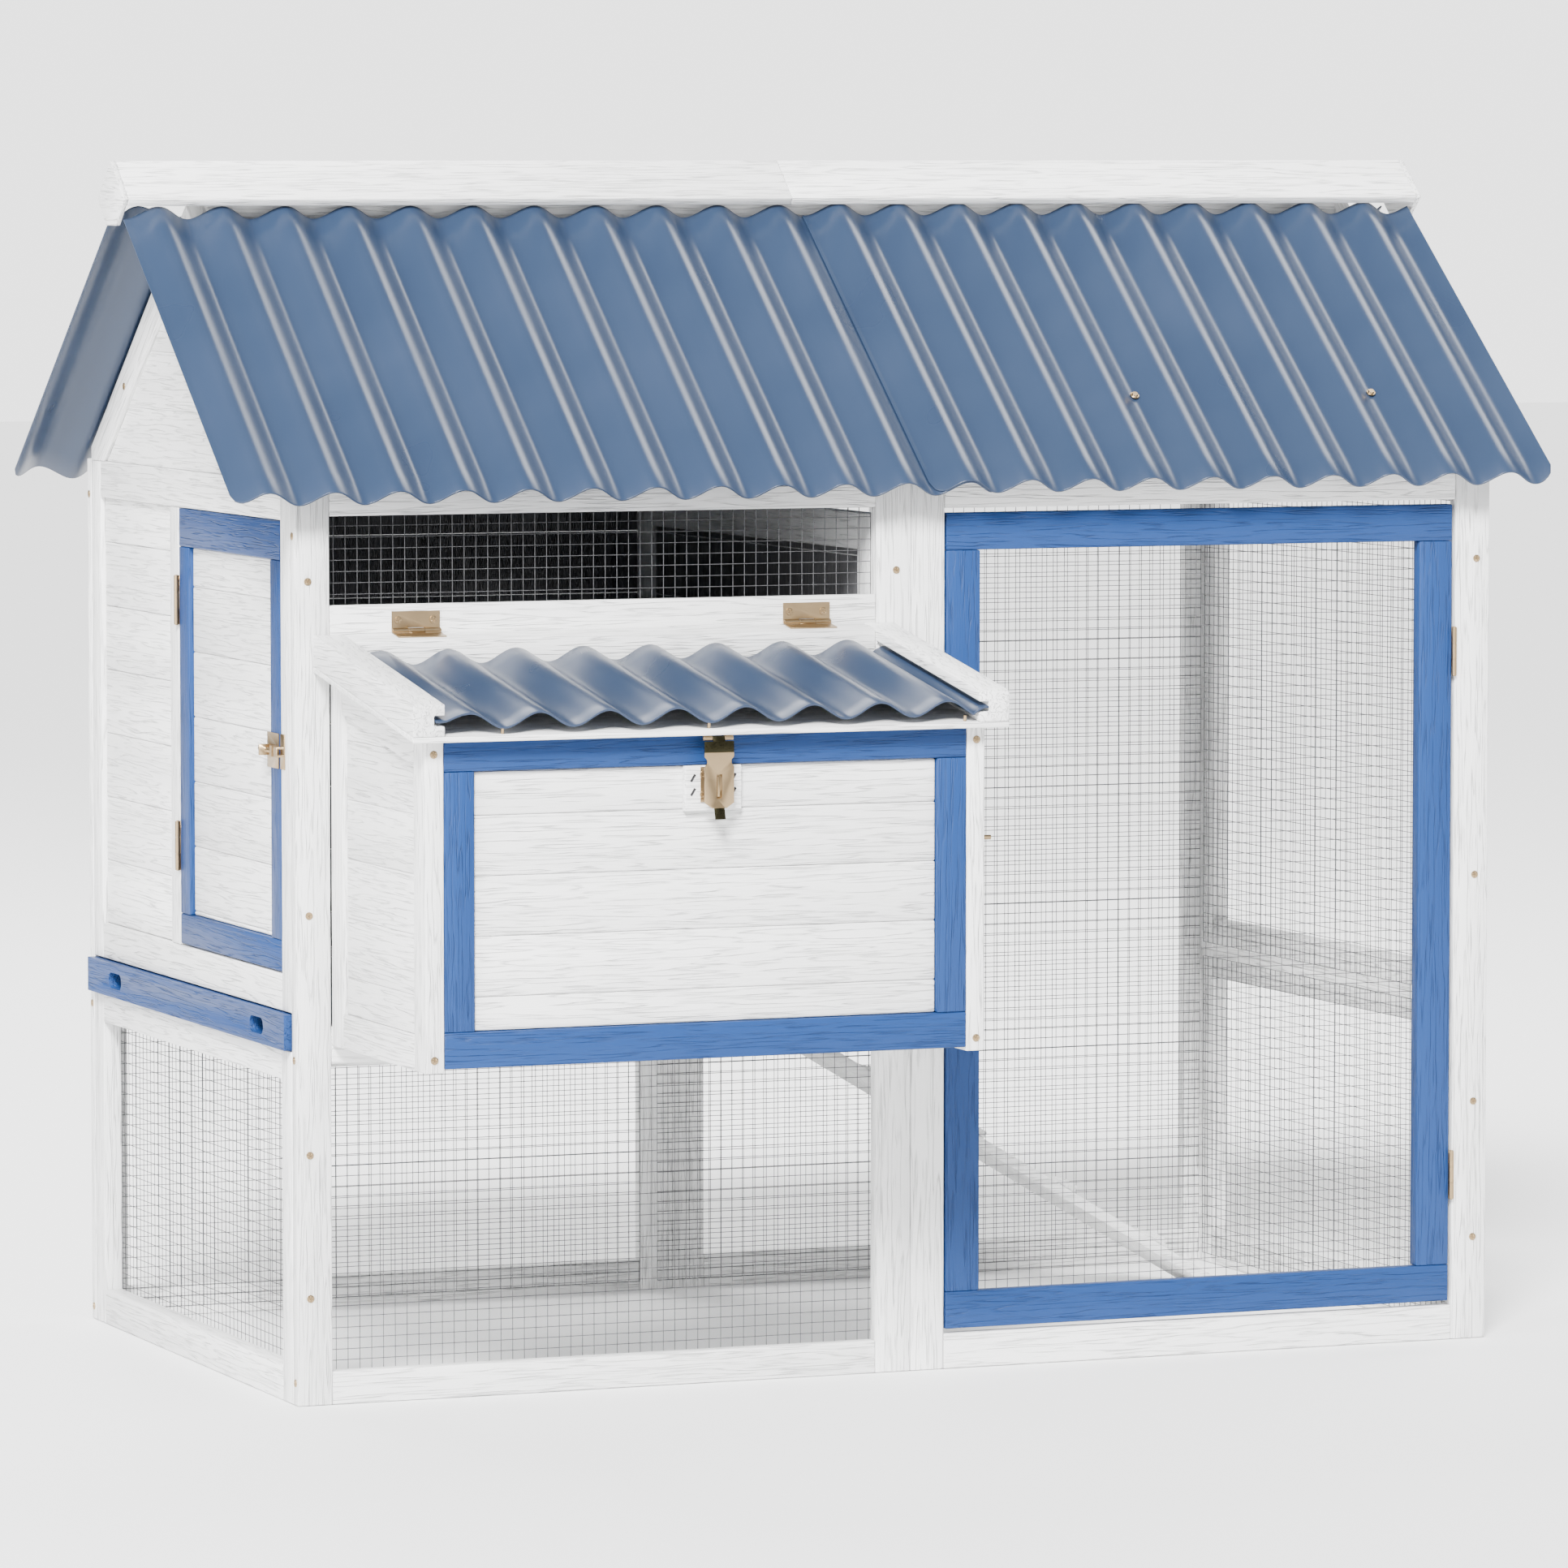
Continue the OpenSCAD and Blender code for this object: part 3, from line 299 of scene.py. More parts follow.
def grown(tree, name, values, base=None):
    """The plain mesh that a tree makes with the given inputs."""
    obj = link(bpy.data.objects.new(name + "_raw", base or bpy.data.meshes.new(name)))
    mod = obj.modifiers.new("grow", "NODES")
    mod.node_group = tree.tree
    for item in tree.tree.interface.items_tree:
        if item.item_type == "SOCKET" and item.in_out == "INPUT" and item.name in values:
            mod[item.identifier] = values[item.name]
    return plain(obj, name)


WIRE_SIDES = 5        # corners of a wire's cross-section
WIRE_SINK = 0.7       # how deep the level wires lie behind the upright ones, in radii


def wire_tree():
    """A panel of welded wire: two crossing layers of straight wires."""
    t = Tree("welded wire", [("Width", "Float"), ("Height", "Float"), ("Cell width", "Float"),
                             ("Cell height", "Float"), ("Wire", "Float"), ("Place", "Vector"),
                             ("Turn", "Vector"), ("Material", "Material")])
    radius = t.math("DIVIDE", t.get("Wire"), 2.0)
    profile = t.add("GeometryNodeCurvePrimitiveCircle")
    profile.inputs["Resolution"].default_value = WIRE_SIDES
    t.feed(profile.inputs["Radius"], radius)
    layers = []
    for upright in (True, False):
        span, cell = (("Width", "Cell width") if upright else ("Height", "Cell height"))
        run = "Height" if upright else "Width"
        count = t.math("FLOOR", t.math("DIVIDE", t.get(span), t.get(cell)))
        step = t.math("DIVIDE", t.get(span), count)
        end = t.vector(z=t.get(run)) if upright else t.vector(x=t.get(run))
        line = t.add("GeometryNodeCurvePrimitiveLine")
        t.feed(line.inputs["End"], end)
        wire = t.add("GeometryNodeCurveToMesh", line.outputs[0], profile.outputs[0])
        wire.inputs["Fill Caps"].default_value = True
        dots = t.add("GeometryNodeMeshLine")
        t.feed(dots.inputs["Count"], t.math("ADD", count, 1.0))
        depth = radius if upright else t.math("MULTIPLY", radius, -WIRE_SINK)
        t.feed(dots.inputs["Start Location"], t.vector(y=depth))
        t.feed(dots.inputs["Offset"], t.vector(x=step) if upright else t.vector(z=step))
        row = t.add("GeometryNodeInstanceOnPoints", dots.outputs[0], None, wire.outputs[0])
        layers.append(row.outputs[0])
    both = t.add("GeometryNodeJoinGeometry")
    for row in reversed(layers):
        t.tree.links.new(row, both.inputs[0])
    moved = t.add("GeometryNodeTransform", both.outputs[0])
    t.feed(moved.inputs["Translation"], t.get("Place"))
    t.feed(moved.inputs["Rotation"], t.get("Turn"))
    t.close(moved.outputs[0])
    return t


WAVE_STEPS = 20.0     # faces across one wave of a roof sheet
SLOPE_ROWS = 14       # rows of points up the slope


def sheet_tree():
    """A corrugated sheet: X across the waves, Y up the slope, Z out of it."""
    t = Tree("corrugated sheet", [("From", "Float"), ("To", "Float"), ("Length", "Float"),
                                  ("Wave width", "Float"), ("Wave height", "Float"),
                                  ("Thickness", "Float"), ("Corner", "Float"), ("Material", "Material")])
    width = t.math("SUBTRACT", t.get("To"), t.get("From"))
    waves = t.math("DIVIDE", width, t.get("Wave width"))
    cols = t.math("ADD", t.math("CEIL", t.math("MULTIPLY", waves, WAVE_STEPS)), 1.0)
    grid = t.add("GeometryNodeMeshGrid", width, t.get("Length"), cols, SLOPE_ROWS)
    place = t.add("GeometryNodeInputPosition")
    part = t.add("ShaderNodeSeparateXYZ", place.outputs[0])
    u = t.math("ADD", part.outputs[0], t.math("ADD", t.get("From"), t.math("DIVIDE", width, 2.0)))
    v = t.math("ADD", part.outputs[1], t.math("DIVIDE", t.get("Length"), 2.0))
    turn = t.math("MULTIPLY", t.math("DIVIDE", u, t.get("Wave width")), 2 * math.pi)
    half = t.math("DIVIDE", t.get("Wave height"), 2.0)
    high = t.math("MULTIPLY", t.math("SUBTRACT", 1.0, t.math("COSINE", turn)), half)
    # rounded lower corners: the eave edge draws back near the two sides
    side = t.math("MINIMUM", t.math("SUBTRACT", u, t.get("From")), t.math("SUBTRACT", t.get("To"), u))
    gone = t.math("MAXIMUM", t.math("SUBTRACT", t.get("Corner"), side), 0.0)
    r2 = t.math("MULTIPLY", t.get("Corner"), t.get("Corner"))
    left = t.math("MAXIMUM", t.math("SUBTRACT", r2, t.math("MULTIPLY", gone, gone)), 0.0)
    arc = t.math("SUBTRACT", t.get("Corner"), t.math("SQRT", left))
    rest = t.math("SUBTRACT", 1.0, t.math("DIVIDE", v, t.get("Length")))
    v2 = t.math("ADD", v, t.math("MULTIPLY", arc, rest))
    wavy = t.add("GeometryNodeSetPosition", grid.outputs[0], None, t.vector(u, v2, high))
    thick = t.add("GeometryNodeExtrudeMesh", wavy.outputs[0])
    thick.inputs["Individual"].default_value = False
    t.feed(thick.inputs["Offset Scale"], t.get("Thickness"))
    under = t.add("GeometryNodeFlipFaces", wavy.outputs[0])
    both = t.add("GeometryNodeJoinGeometry")
    t.tree.links.new(thick.outputs[0], both.inputs[0])
    t.tree.links.new(under.outputs[0], both.inputs[0])
    whole = t.add("GeometryNodeMergeByDistance", both.outputs[0])
    whole.inputs["Distance"].default_value = 1e-5
    t.close(whole.outputs[0])
    return t


SPIN_MOST = 1.5       # most that a screw's recess is turned, in radians
SPIN_SEED = 4


def head_tree():
    """Screw heads on the points of the base mesh, facing one way, each spun by chance."""
    t = Tree("screw heads", [("Head", "Object"), ("Diameter", "Float"), ("Turn", "Vector"),
                             ("Material", "Material")])
    head = t.add("GeometryNodeObjectInfo", t.get("Head"))
    spin = t.add("FunctionNodeRandomValue", data_type="FLOAT")
    spin.inputs[2].default_value, spin.inputs[3].default_value = 0.0, SPIN_MOST
    spin.inputs["Seed"].default_value = SPIN_SEED
    heads = t.add("GeometryNodeInstanceOnPoints", t.get("Geometry"), None, head.outputs["Geometry"])
    t.feed(heads.inputs["Rotation"], t.get("Turn"))
    t.feed(heads.inputs["Scale"], t.get("Diameter"))
    spun = t.add("GeometryNodeRotateInstances", heads.outputs[0])
    t.feed(spun.inputs["Rotation"], t.vector(z=spin.outputs[1]))
    spun.inputs["Local Space"].default_value = True
    t.close(spun.outputs[0])
    return t


# ---------- materials ----------

class Paint(Nodes):
    """A material, world or shader group under construction."""

    def ramp(self, value, low, high, a=0.0, b=1.0):
        return self.add("ShaderNodeMapRange", value, low, high, a, b).outputs[0]

    def noise(self, place, scale, detail=2.0, rough=0.5, w=None):
        node = self.add("ShaderNodeTexNoise", noise_dimensions="4D" if w is not None else "3D")
        self.feed(node.inputs["Vector"], place)
        node.inputs["Scale"].default_value = scale
        node.inputs["Detail"].default_value = detail
        node.inputs["Roughness"].default_value = rough
        if w is not None:
            self.feed(node.inputs["W"], w)
        return node.outputs["Fac"]

    def mix(self, mask, a, b):
        node = self.add("ShaderNodeMix", data_type="RGBA")
        self.feed(node.inputs["Factor"], mask)
        self.feed(node.inputs["A"], a)
        self.feed(node.inputs["B"], b)
        return node.outputs["Result"]


# noise scales of the grain, and what bends and draws its lines
BEND_SCALE, BEND_BY = 9.0, 0.035
FINE_SCALE, RING_SCALE, BROAD_SCALE = 420.0, 90.0, 12.0
LINES_PER_RING, LINE_FROM, LINE_FULL = 9.0, 0.30, 0.5
FINE_HEIGHT, LINE_DEPTH = 0.35, 0.65
BLOTCH_SCALE, SPECKLE_SCALE = 6.0, 160.0
WIDE, NARROW = (0.3, 0.7), (0.35, 0.65)      # parts of a noise's range over which a look changes


def grain_group():
    """Timber grain under paint: place stretched along the grain, and a number for the member."""
    tree = bpy.data.node_groups.new("timber grain", "ShaderNodeTree")
    tree.interface.new_socket("Place", in_out="INPUT", socket_type="NodeSocketVector")
    tree.interface.new_socket("Member", in_out="INPUT", socket_type="NodeSocketFloat")
    for key in ("Streak", "Broad", "Height"):
        tree.interface.new_socket(key, in_out="OUTPUT", socket_type="NodeSocketFloat")
    p = Paint(tree)
    ins, outs = p.add("NodeGroupInput"), p.add("NodeGroupOutput")
    place, member = ins.outputs[0], ins.outputs[1]
    bend = p.add("ShaderNodeTexNoise", noise_dimensions="4D")
    p.feed(bend.inputs["Vector"], place)
    p.feed(bend.inputs["W"], member)
    bend.inputs["Scale"].default_value = BEND_SCALE
    shift = p.add("ShaderNodeVectorMath", bend.outputs["Color"], (0.5, 0.5, 0.5), operation="SUBTRACT")
    scaled = p.add("ShaderNodeVectorMath", shift.outputs[0], operation="SCALE")
    scaled.inputs["Scale"].default_value = BEND_BY
    bent = p.add("ShaderNodeVectorMath", place, scaled.outputs[0], operation="ADD").outputs[0]
    fine = p.noise(bent, FINE_SCALE, 3.0, 0.6, member)
    rings = p.noise(bent, RING_SCALE, 3.0, 0.55, member)
    broad = p.noise(place, BROAD_SCALE, 2.0, 0.5, member)
    within = p.math("FRACT", p.math("MULTIPLY", rings, LINES_PER_RING))
    lines = p.math("ABSOLUTE", p.math("SUBTRACT", within, 0.5))
    streak = p.math("MULTIPLY", p.ramp(lines, LINE_FROM, LINE_FULL), p.ramp(fine, *NARROW))
    p.feed(outs.inputs["Streak"], streak)
    p.feed(outs.inputs["Broad"], broad)
    height = p.math("SUBTRACT", p.math("MULTIPLY", fine, FINE_HEIGHT), p.math("MULTIPLY", streak, LINE_DEPTH))
    p.feed(outs.inputs["Height"], height)
    return tree


def wear_group():
    """Fine speckle and soft blotches for metal and plastic."""
    tree = bpy.data.node_groups.new("surface variation", "ShaderNodeTree")
    tree.interface.new_socket("Scale", in_out="INPUT", socket_type="NodeSocketFloat")
    for key in ("Blotch", "Speckle"):
        tree.interface.new_socket(key, in_out="OUTPUT", socket_type="NodeSocketFloat")
    p = Paint(tree)
    ins, outs = p.add("NodeGroupInput"), p.add("NodeGroupOutput")
    place = p.add("ShaderNodeTexCoord").outputs["Object"]
    sized = p.add("ShaderNodeVectorMath", place, operation="SCALE")
    p.feed(sized.inputs["Scale"], ins.outputs[0])
    p.feed(outs.inputs["Blotch"], p.noise(sized.outputs[0], BLOTCH_SCALE, 3.0))
    p.feed(outs.inputs["Speckle"], p.noise(sized.outputs[0], SPECKLE_SCALE, 2.0))
    return tree


def new_material(name, roughness, metallic=0.0):
    mat = bpy.data.materials.new(name)
    mat.use_nodes = True
    p = Paint(mat.node_tree)
    shader = mat.node_tree.nodes["Principled BSDF"]
    shader.inputs["Roughness"].default_value = roughness
    shader.inputs["Metallic"].default_value = metallic
    return mat, p, shader


def bump(p, shader, height, strength, distance):
    node = p.add("ShaderNodeBump")
    node.inputs["Strength"].default_value = strength
    node.inputs["Distance"].default_value = distance
    p.feed(node.inputs["Height"], height)
    p.feed(shader.inputs["Normal"], node.outputs[0])


GRAIN_STRETCH = 0.045    # size of the grain's noise along a member, as a share of its size across
GRAIN_DEPTH = 0.0018     # metres
GRAIN_BUMP = 0.9
PAINT_GLOSS = 0.2        # specular level
PAINT_ROUGH = (0.42, 0.6)      # between the grain's lines, and in them
# the third is for the dark paint of the house's inward faces, which is painted shade
WHITE_STREAK, BLUE_STREAK, SHADE_INSIDE_STREAK = 0.52, 0.62, 0.7   # brightness of the grain's lines in the paint


def rgba(tone, share=1.0):
    """A colour with an alpha of 1, made darker or lighter."""
    return tuple(min(1.0, c * share) for c in tone) + (1.0,)


def timber_paint(name, tone, way, grain, dark, turn=0.0):
    """Paint on timber whose grain runs along X, Y or Z, turned about X by an angle."""
    mat, p, shader = new_material(name, PAINT_ROUGH[0])
    shader.inputs["Specular IOR Level"].default_value = PAINT_GLOSS
    place = p.add("ShaderNodeTexCoord").outputs["Object"]
    turned = p.add("ShaderNodeMapping", place)
    turned.inputs["Rotation"].default_value = (turn, 0.0, 0.0)
    stretch = [1.0, 1.0, 1.0]
    stretch[way] = GRAIN_STRETCH
    sized = p.add("ShaderNodeMapping", turned.outputs[0])
    sized.inputs["Scale"].default_value = stretch
    member = p.add("ShaderNodeAttribute", attribute_name="member").outputs["Fac"]
    group = p.add("ShaderNodeGroup", node_tree=bpy.data.node_groups["timber grain"])
    p.feed(group.inputs[0], sized.outputs[0])
    p.feed(group.inputs[1], member)
    between = rgba(tone, 0.5 + dark / 2)
    base = p.mix(p.ramp(group.outputs["Broad"], *WIDE), between, rgba(tone, 1.03))
    p.feed(shader.inputs["Base Color"], p.mix(group.outputs["Streak"], base, rgba(tone, dark)))
    p.feed(shader.inputs["Roughness"], p.ramp(group.outputs["Streak"], 0.0, 1.0, *PAINT_ROUGH))
    bump(p, shader, group.outputs["Height"], GRAIN_BUMP, GRAIN_DEPTH * grain)
    return mat


def paints(name, tone, dark):
    """One paint for grain along X, Y and Z, each material made once."""
    out = []
    for way, axis in enumerate("XYZ"):
        key = f"{name} along {axis}"
        out.append(bpy.data.materials.get(key)
                   or timber_paint(key, tone, way, look("timber").grain, dark))
    return out


def white_paint():
    return paints("white paint", tuple(look("timber").white), WHITE_STREAK)


def blue_paint():
    return paints("blue paint", tuple(look("timber").blue), BLUE_STREAK)


def varied(name, scale, tones, rough, tone_by="Blotch", rough_by=None, over=WIDE, metallic=0.0,
           gloss=0.5, relief=None):
    """Metal, plastic or floor whose colour and roughness vary with the shared noises."""
    mat, p, shader = new_material(name, rough[0], metallic)
    shader.inputs["Specular IOR Level"].default_value = gloss
    group = p.add("ShaderNodeGroup", node_tree=bpy.data.node_groups["surface variation"])
    group.inputs[0].default_value = scale
    p.feed(shader.inputs["Base Color"], p.mix(p.ramp(group.outputs[tone_by], *over), *tones))
    if rough_by:
        p.feed(shader.inputs["Roughness"], p.ramp(group.outputs[rough_by], *over, *rough))
    if relief:
        bump(p, shader, group.outputs["Speckle"], *relief)
    return mat


def recipes():
    """What varied() takes for each material, by name."""
    sheet, wire = look("roof").sheet, look("mesh").tint
    brass, floor = look("fittings").brass, look("stage").floor
    return {
        "corrugated sheet": dict(scale=1.0, tones=(rgba(sheet, 0.93), rgba(sheet, 1.05)), rough=(0.26, 0.36),
                                 rough_by="Blotch", gloss=0.36, relief=(0.08, 0.0002)),
        # the wire's own colour, also put on the lock block's slot walls as painted shade
        "mesh wire and painted slot shade": dict(scale=3.0, tones=(rgba(wire), rgba(wire, 1.8)), rough=(0.5,), tone_by="Speckle",
                          over=NARROW, metallic=0.6),
        "brass": dict(scale=8.0, tones=(rgba(brass, 0.9), rgba(brass, 1.06)), rough=(0.28, 0.42),
                      rough_by="Speckle", metallic=1.0, relief=(0.1, 0.0001)),
        # painted shade and painted dark reflection for the hasp's end bands
        "brass in painted shade": dict(scale=8.0, tones=((0.035, 0.032, 0.017, 1.0), (0.055, 0.05, 0.028, 1.0)),
                           rough=(0.25, 0.4), rough_by="Speckle", metallic=1.0),
        "galvanised sheet": dict(scale=4.0, tones=((0.40, 0.41, 0.42, 1.0), (0.55, 0.56, 0.57, 1.0)),
                                 rough=(0.35, 0.5), rough_by="Blotch", over=NARROW, metallic=0.9),
        "pale floor": dict(scale=0.3, tones=(rgba(floor, 0.995), rgba(floor)), rough=(0.6,)),
    }


def material(name):
    """The coop's materials by name, each made once."""
    if name in bpy.data.materials:
        return bpy.data.materials[name]
    # painted shade: a dark paint for the inward faces of the house, where little light falls
    if name == "painted inside shade":
        return timber_paint(name, look("timber").inside, 2, look("timber").grain, SHADE_INSIDE_STREAK)
    return varied(name, **recipes()[name])


# ---------- operators ----------

class Piece(bpy.types.Operator):
    """What the operators that make pieces share"""
    bl_options = {"REGISTER", "UNDO"}

    def execute(self, context):
        self.make()
        return {"FINISHED"}


def white_piece(node, body="coop", width=None, axis=None):
    timber_piece(node, body, white_paint(), width or look("timber").edge, axis)


class COOP_OT_frames(Piece):
    """Make the white frames, posts, rails and beams"""
    bl_idname, bl_label = "coop.frames", "White frames"

    def make(self):
        for node in ("front_left_frame", "front_right_frame", "back_left_frame", "back_right_frame",
                     "left_lower_frame", "left_upper_frame", "right_lower_frame", "right_upper_frame",
                     "partition_frame", "tray_runners", "ridge_beam", "roof_purlins", "nest_side_frames"):
            white_piece(node)
        white_piece("nest_lid_frame", "nest_lid")


# faces turned this far into the house get the dark paint of painted shade
FACES_INWARD = 0.7       # least share of a face's normal that points into the house


class COOP_OT_boards(Piece):
    """Make the siding boards of the walls, gables, nest box and side door, with painted shade on the inward
    faces of the house
    """
    bl_idname, bl_label = "coop.boards", "Siding boards"

    def make(self):
        for node in ("left_gable_boards", "right_gable_boards", "left_wall_boards", "back_wall_boards",
                     "partition_boards", "nest_side_boards", "nest_front_boards", "nest_floor",
                     "nest_divider"):
            white_piece(node, "coop", look("timber").board_edge)
        white_piece("side_door_boards", "side_door", look("timber").board_edge)
        # painted shade: the inward faces of these boards get a dark paint in place of the shade inside the
        # house
        for name, inward in (("back_wall_boards_timber", (0, -1, 0)), ("left_wall_boards_timber", (1, 0, 0)),
                             ("partition_boards_timber", (-1, 0, 0))):
            mesh = bpy.data.objects[name].data
            mesh.materials.append(material("painted inside shade"))
            painted_shade = len(mesh.materials) - 1
            for f in mesh.polygons:
                if f.normal.dot(inward) > FACES_INWARD:
                    f.material_index = painted_shade


class COOP_OT_gables(Piece):
    """Make the rake boards, whose grain follows the roof"""
    bl_idname, bl_label = "coop.gables", "Rake boards"

    def make(self):
        tone, grain, slope = tuple(look("timber").white), look("timber").grain, look("roof").slope
        rising = [timber_paint(f"white paint on {side} rakes", tone, 1, grain, WHITE_STREAK, turn)
                  for side, turn in (("front", -slope), ("back", slope))]
        bm = solid_copy("gable_rakes")
        layer = bm.faces.layers.float.new("member")
        middle = sum(v.co.y for v in bm.verts) / len(bm.verts)
        for i, group in enumerate(members(bm)):
            y = sum(f.calc_center_median().y for f in group) / len(group)
            for f in group:
                f.material_index = int(y > middle)
                f[layer] = i * MEMBER_STEP
        obj = rounded(bm, "gable_rakes_timber", look("timber").edge, rising)
        finish_piece(obj, ["gable_rakes"], "coop")


class COOP_OT_doors(Piece):
    """Make the blue frames of the doors, the nest box's front and the tray's front board"""
    bl_idname, bl_label = "coop.doors", "Blue frames"

    def make(self):
        for node, body in (("run_door_frame", "run_door"), ("side_door_frame", "side_door"),
                           ("nest_front_frame", "coop"), ("tray_front", "tray")):
            timber_piece(node, body, blue_paint(), look("timber").edge)


class COOP_OT_ramp(Piece):
    """Make the ramp and its cleats"""
    bl_idname, bl_label = "coop.ramp", "Ramp"

    def make(self):
        white_piece("ramp_board", axis=0)
        white_piece("ramp_cleats", axis=1)


class COOP_OT_ridge(Piece):
    """Make the boards and end plates of the ridge cap"""
    bl_idname, bl_label = "coop.ridge", "Ridge cap"

    def make(self):
        for node in ("ridge_cap_front", "ridge_cap_back", "ridge_end_plates"):
            white_piece(node)


class COOP_OT_wires(Piece):
    """Make the welded wire mesh of all panels"""
    bl_idname, bl_label = "coop.wires", "Wire mesh"

    def make(self):
        tree, m = wire_tree(), look("mesh")
        jobs = [("vent_mesh", "coop"), ("front_mesh", "coop"), ("back_left_mesh", "coop"),
                ("back_right_mesh", "coop"), ("left_mesh", "coop"), ("right_meshes", "coop"),
                ("run_door_mesh", "run_door")]
        for node, body in jobs:
            bm = solid_copy(node)
            panels = [extents(group) for group in members(bm)]
            bm.free()
            made = []
            for i, (lo, hi) in enumerate(panels):
                side = hi[1] - lo[1] > hi[0] - lo[0]
                width = (hi[1] - lo[1]) if side else (hi[0] - lo[0])
                mid = (lo + hi) / 2
                place = (mid[0], lo[1], lo[2]) if side else (lo[0], mid[1], lo[2])
                made.append(grown(tree, f"{node}_wires_{i}", {
                    "Width": float(width), "Height": float(hi[2] - lo[2]), "Cell width": m.across,
                    "Cell height": m.up, "Wire": m.wire, "Place": [float(c) for c in place],
                    "Turn": [0.0, 0.0, math.pi / 2 if side else 0.0], "Material": material("mesh wire and painted slot shade")}))
            obj = joined(made, node.rstrip("s") + "_wires")
            obj.data.shade_smooth()
            finish_piece(obj, [node], body)


def joined(objs, name):
    """Several plain mesh objects as one."""
    bm = bmesh.new()
    for o in objs:
        bm.from_mesh(o.data)
    mesh = bpy.data.meshes.new(name)
    for m in objs[0].data.materials:
        mesh.materials.append(m)
    bm.to_mesh(mesh)
    bm.free()
    for o in objs:
        bpy.data.objects.remove(o)
    return link(bpy.data.objects.new(name, mesh))


# metres, as in the CAD
HALF_DEEP = 0.353        # from the front of the body to the middle of the ridge
EAVE_OUT = 0.035         # the sheets reach this far out past the body
RIDGE_SHORT = 0.023      # and end this far from the middle of the ridge
RIDGE_UNDER = 1.223      # height at which the undersides of the two slopes meet
LAP = 0.0002             # air between two sheets where they lap


class COOP_OT_sheets(Piece):
    """Make the corrugated sheets of the roof"""
    bl_idname, bl_label = "coop.sheets", "Roof sheets"

    def make(self):
        tree, r = sheet_tree(), look("roof")
        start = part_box("roof_sheet_front_left")[0][0]
        body_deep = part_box("back_left_frame")[1][1] - corner.y
        length = (HALF_DEEP - RIDGE_SHORT + EAVE_OUT) / math.cos(r.slope)
        eave_up = RIDGE_UNDER - (HALF_DEEP + EAVE_OUT) * math.tan(r.slope)
        turn = Matrix.Rotation(r.slope, 4, "X")
        place = Matrix.Translation(Vector((start, corner.y - EAVE_OUT, eave_up)))
        mirror = Matrix.Translation((0, 2 * corner.y + body_deep, 0)) @ Matrix.Scale(-1, 4, (0, 1, 0))
        for node in ("roof_sheet_front_left", "roof_sheet_front_right", "roof_sheet_back_left",
                     "roof_sheet_back_right"):
            lo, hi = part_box(node)
            up = 0.0 if node.endswith("left") else r.thick + LAP
            obj = grown(tree, node + "_waves", {
                "From": float(lo[0] - start), "To": float(hi[0] - start), "Length": length,
                "Wave width": r.pitch, "Wave height": r.wave, "Thickness": r.thick, "Corner": r.round,
                "Material": material("corrugated sheet")})
            obj.data.transform(place @ turn @ Matrix.Translation((0, 0, up)))
            if "back" in node:
                obj.data.transform(mirror)
                obj.data.flip_normals()
            finish_piece(soft_rim(obj, node + "_waves"), [node], "coop")


# millimetres, as in the CAD
LID_SLOPE = 9.8                          # degrees
LID_UNDER = 750                          # height of the deck's underside, carried on to the wall
LID_OUT = 306                            # the lid reaches this far out from the wall
LID_BACK = 1 + 33.3 + 1                  # the back rail, and the air on both sides of it
LID_SHORT = 2                            # the sheet ends this far short of the lid's front
LID_LOW, LID_LIP = 12.3, 19.9            # undersides of the troughs and edges, over the deck's underside
LID_HIGH = 15.4                          # height of a wave
LID_PITCH, LID_THICK = 72.9, 2.0
FIRST_CREST = 35.7                       # from the sheet's left edge
LID_STEPS, LID_ROWS = 24, 10             # faces across one wave, and from back to front


def lid_line(x0, x1):
    """The underside of the lid's sheet from its left edge to its right edge, as X and Z."""
    crest = x0 + FIRST_CREST
    keys = [(x0, LID_LIP), (crest - 30, LID_LIP - 0.3), (crest - 24, LID_LIP + 0.6),
            (crest - 17, LID_LIP + 3.6), (crest - 9, LID_LIP + 6.6)]
    line = []
    for (xa, za), (xb, zb) in zip(keys, keys[1:]):
        line += [(xa + (xb - xa) * t / 3, za + (zb - za) * t / 3) for t in range(3)]
    line.append(keys[-1])
    x = crest - 4
    while x < x1 - 20:
        wave = (1 + math.cos(2 * math.pi * (x - crest) / LID_PITCH)) / 2
        line.append((x, LID_LOW + LID_HIGH * wave))
        x += LID_PITCH / LID_STEPS
    return line + [(x1 - 17, LID_LOW + 0.9), (x1 - 15.5, LID_LOW + 1.2), (x1 - 10.5, LID_LIP - 2.4),
                   (x1 - 5, LID_LIP + 0.1), (x1, LID_LIP + 0.4)]


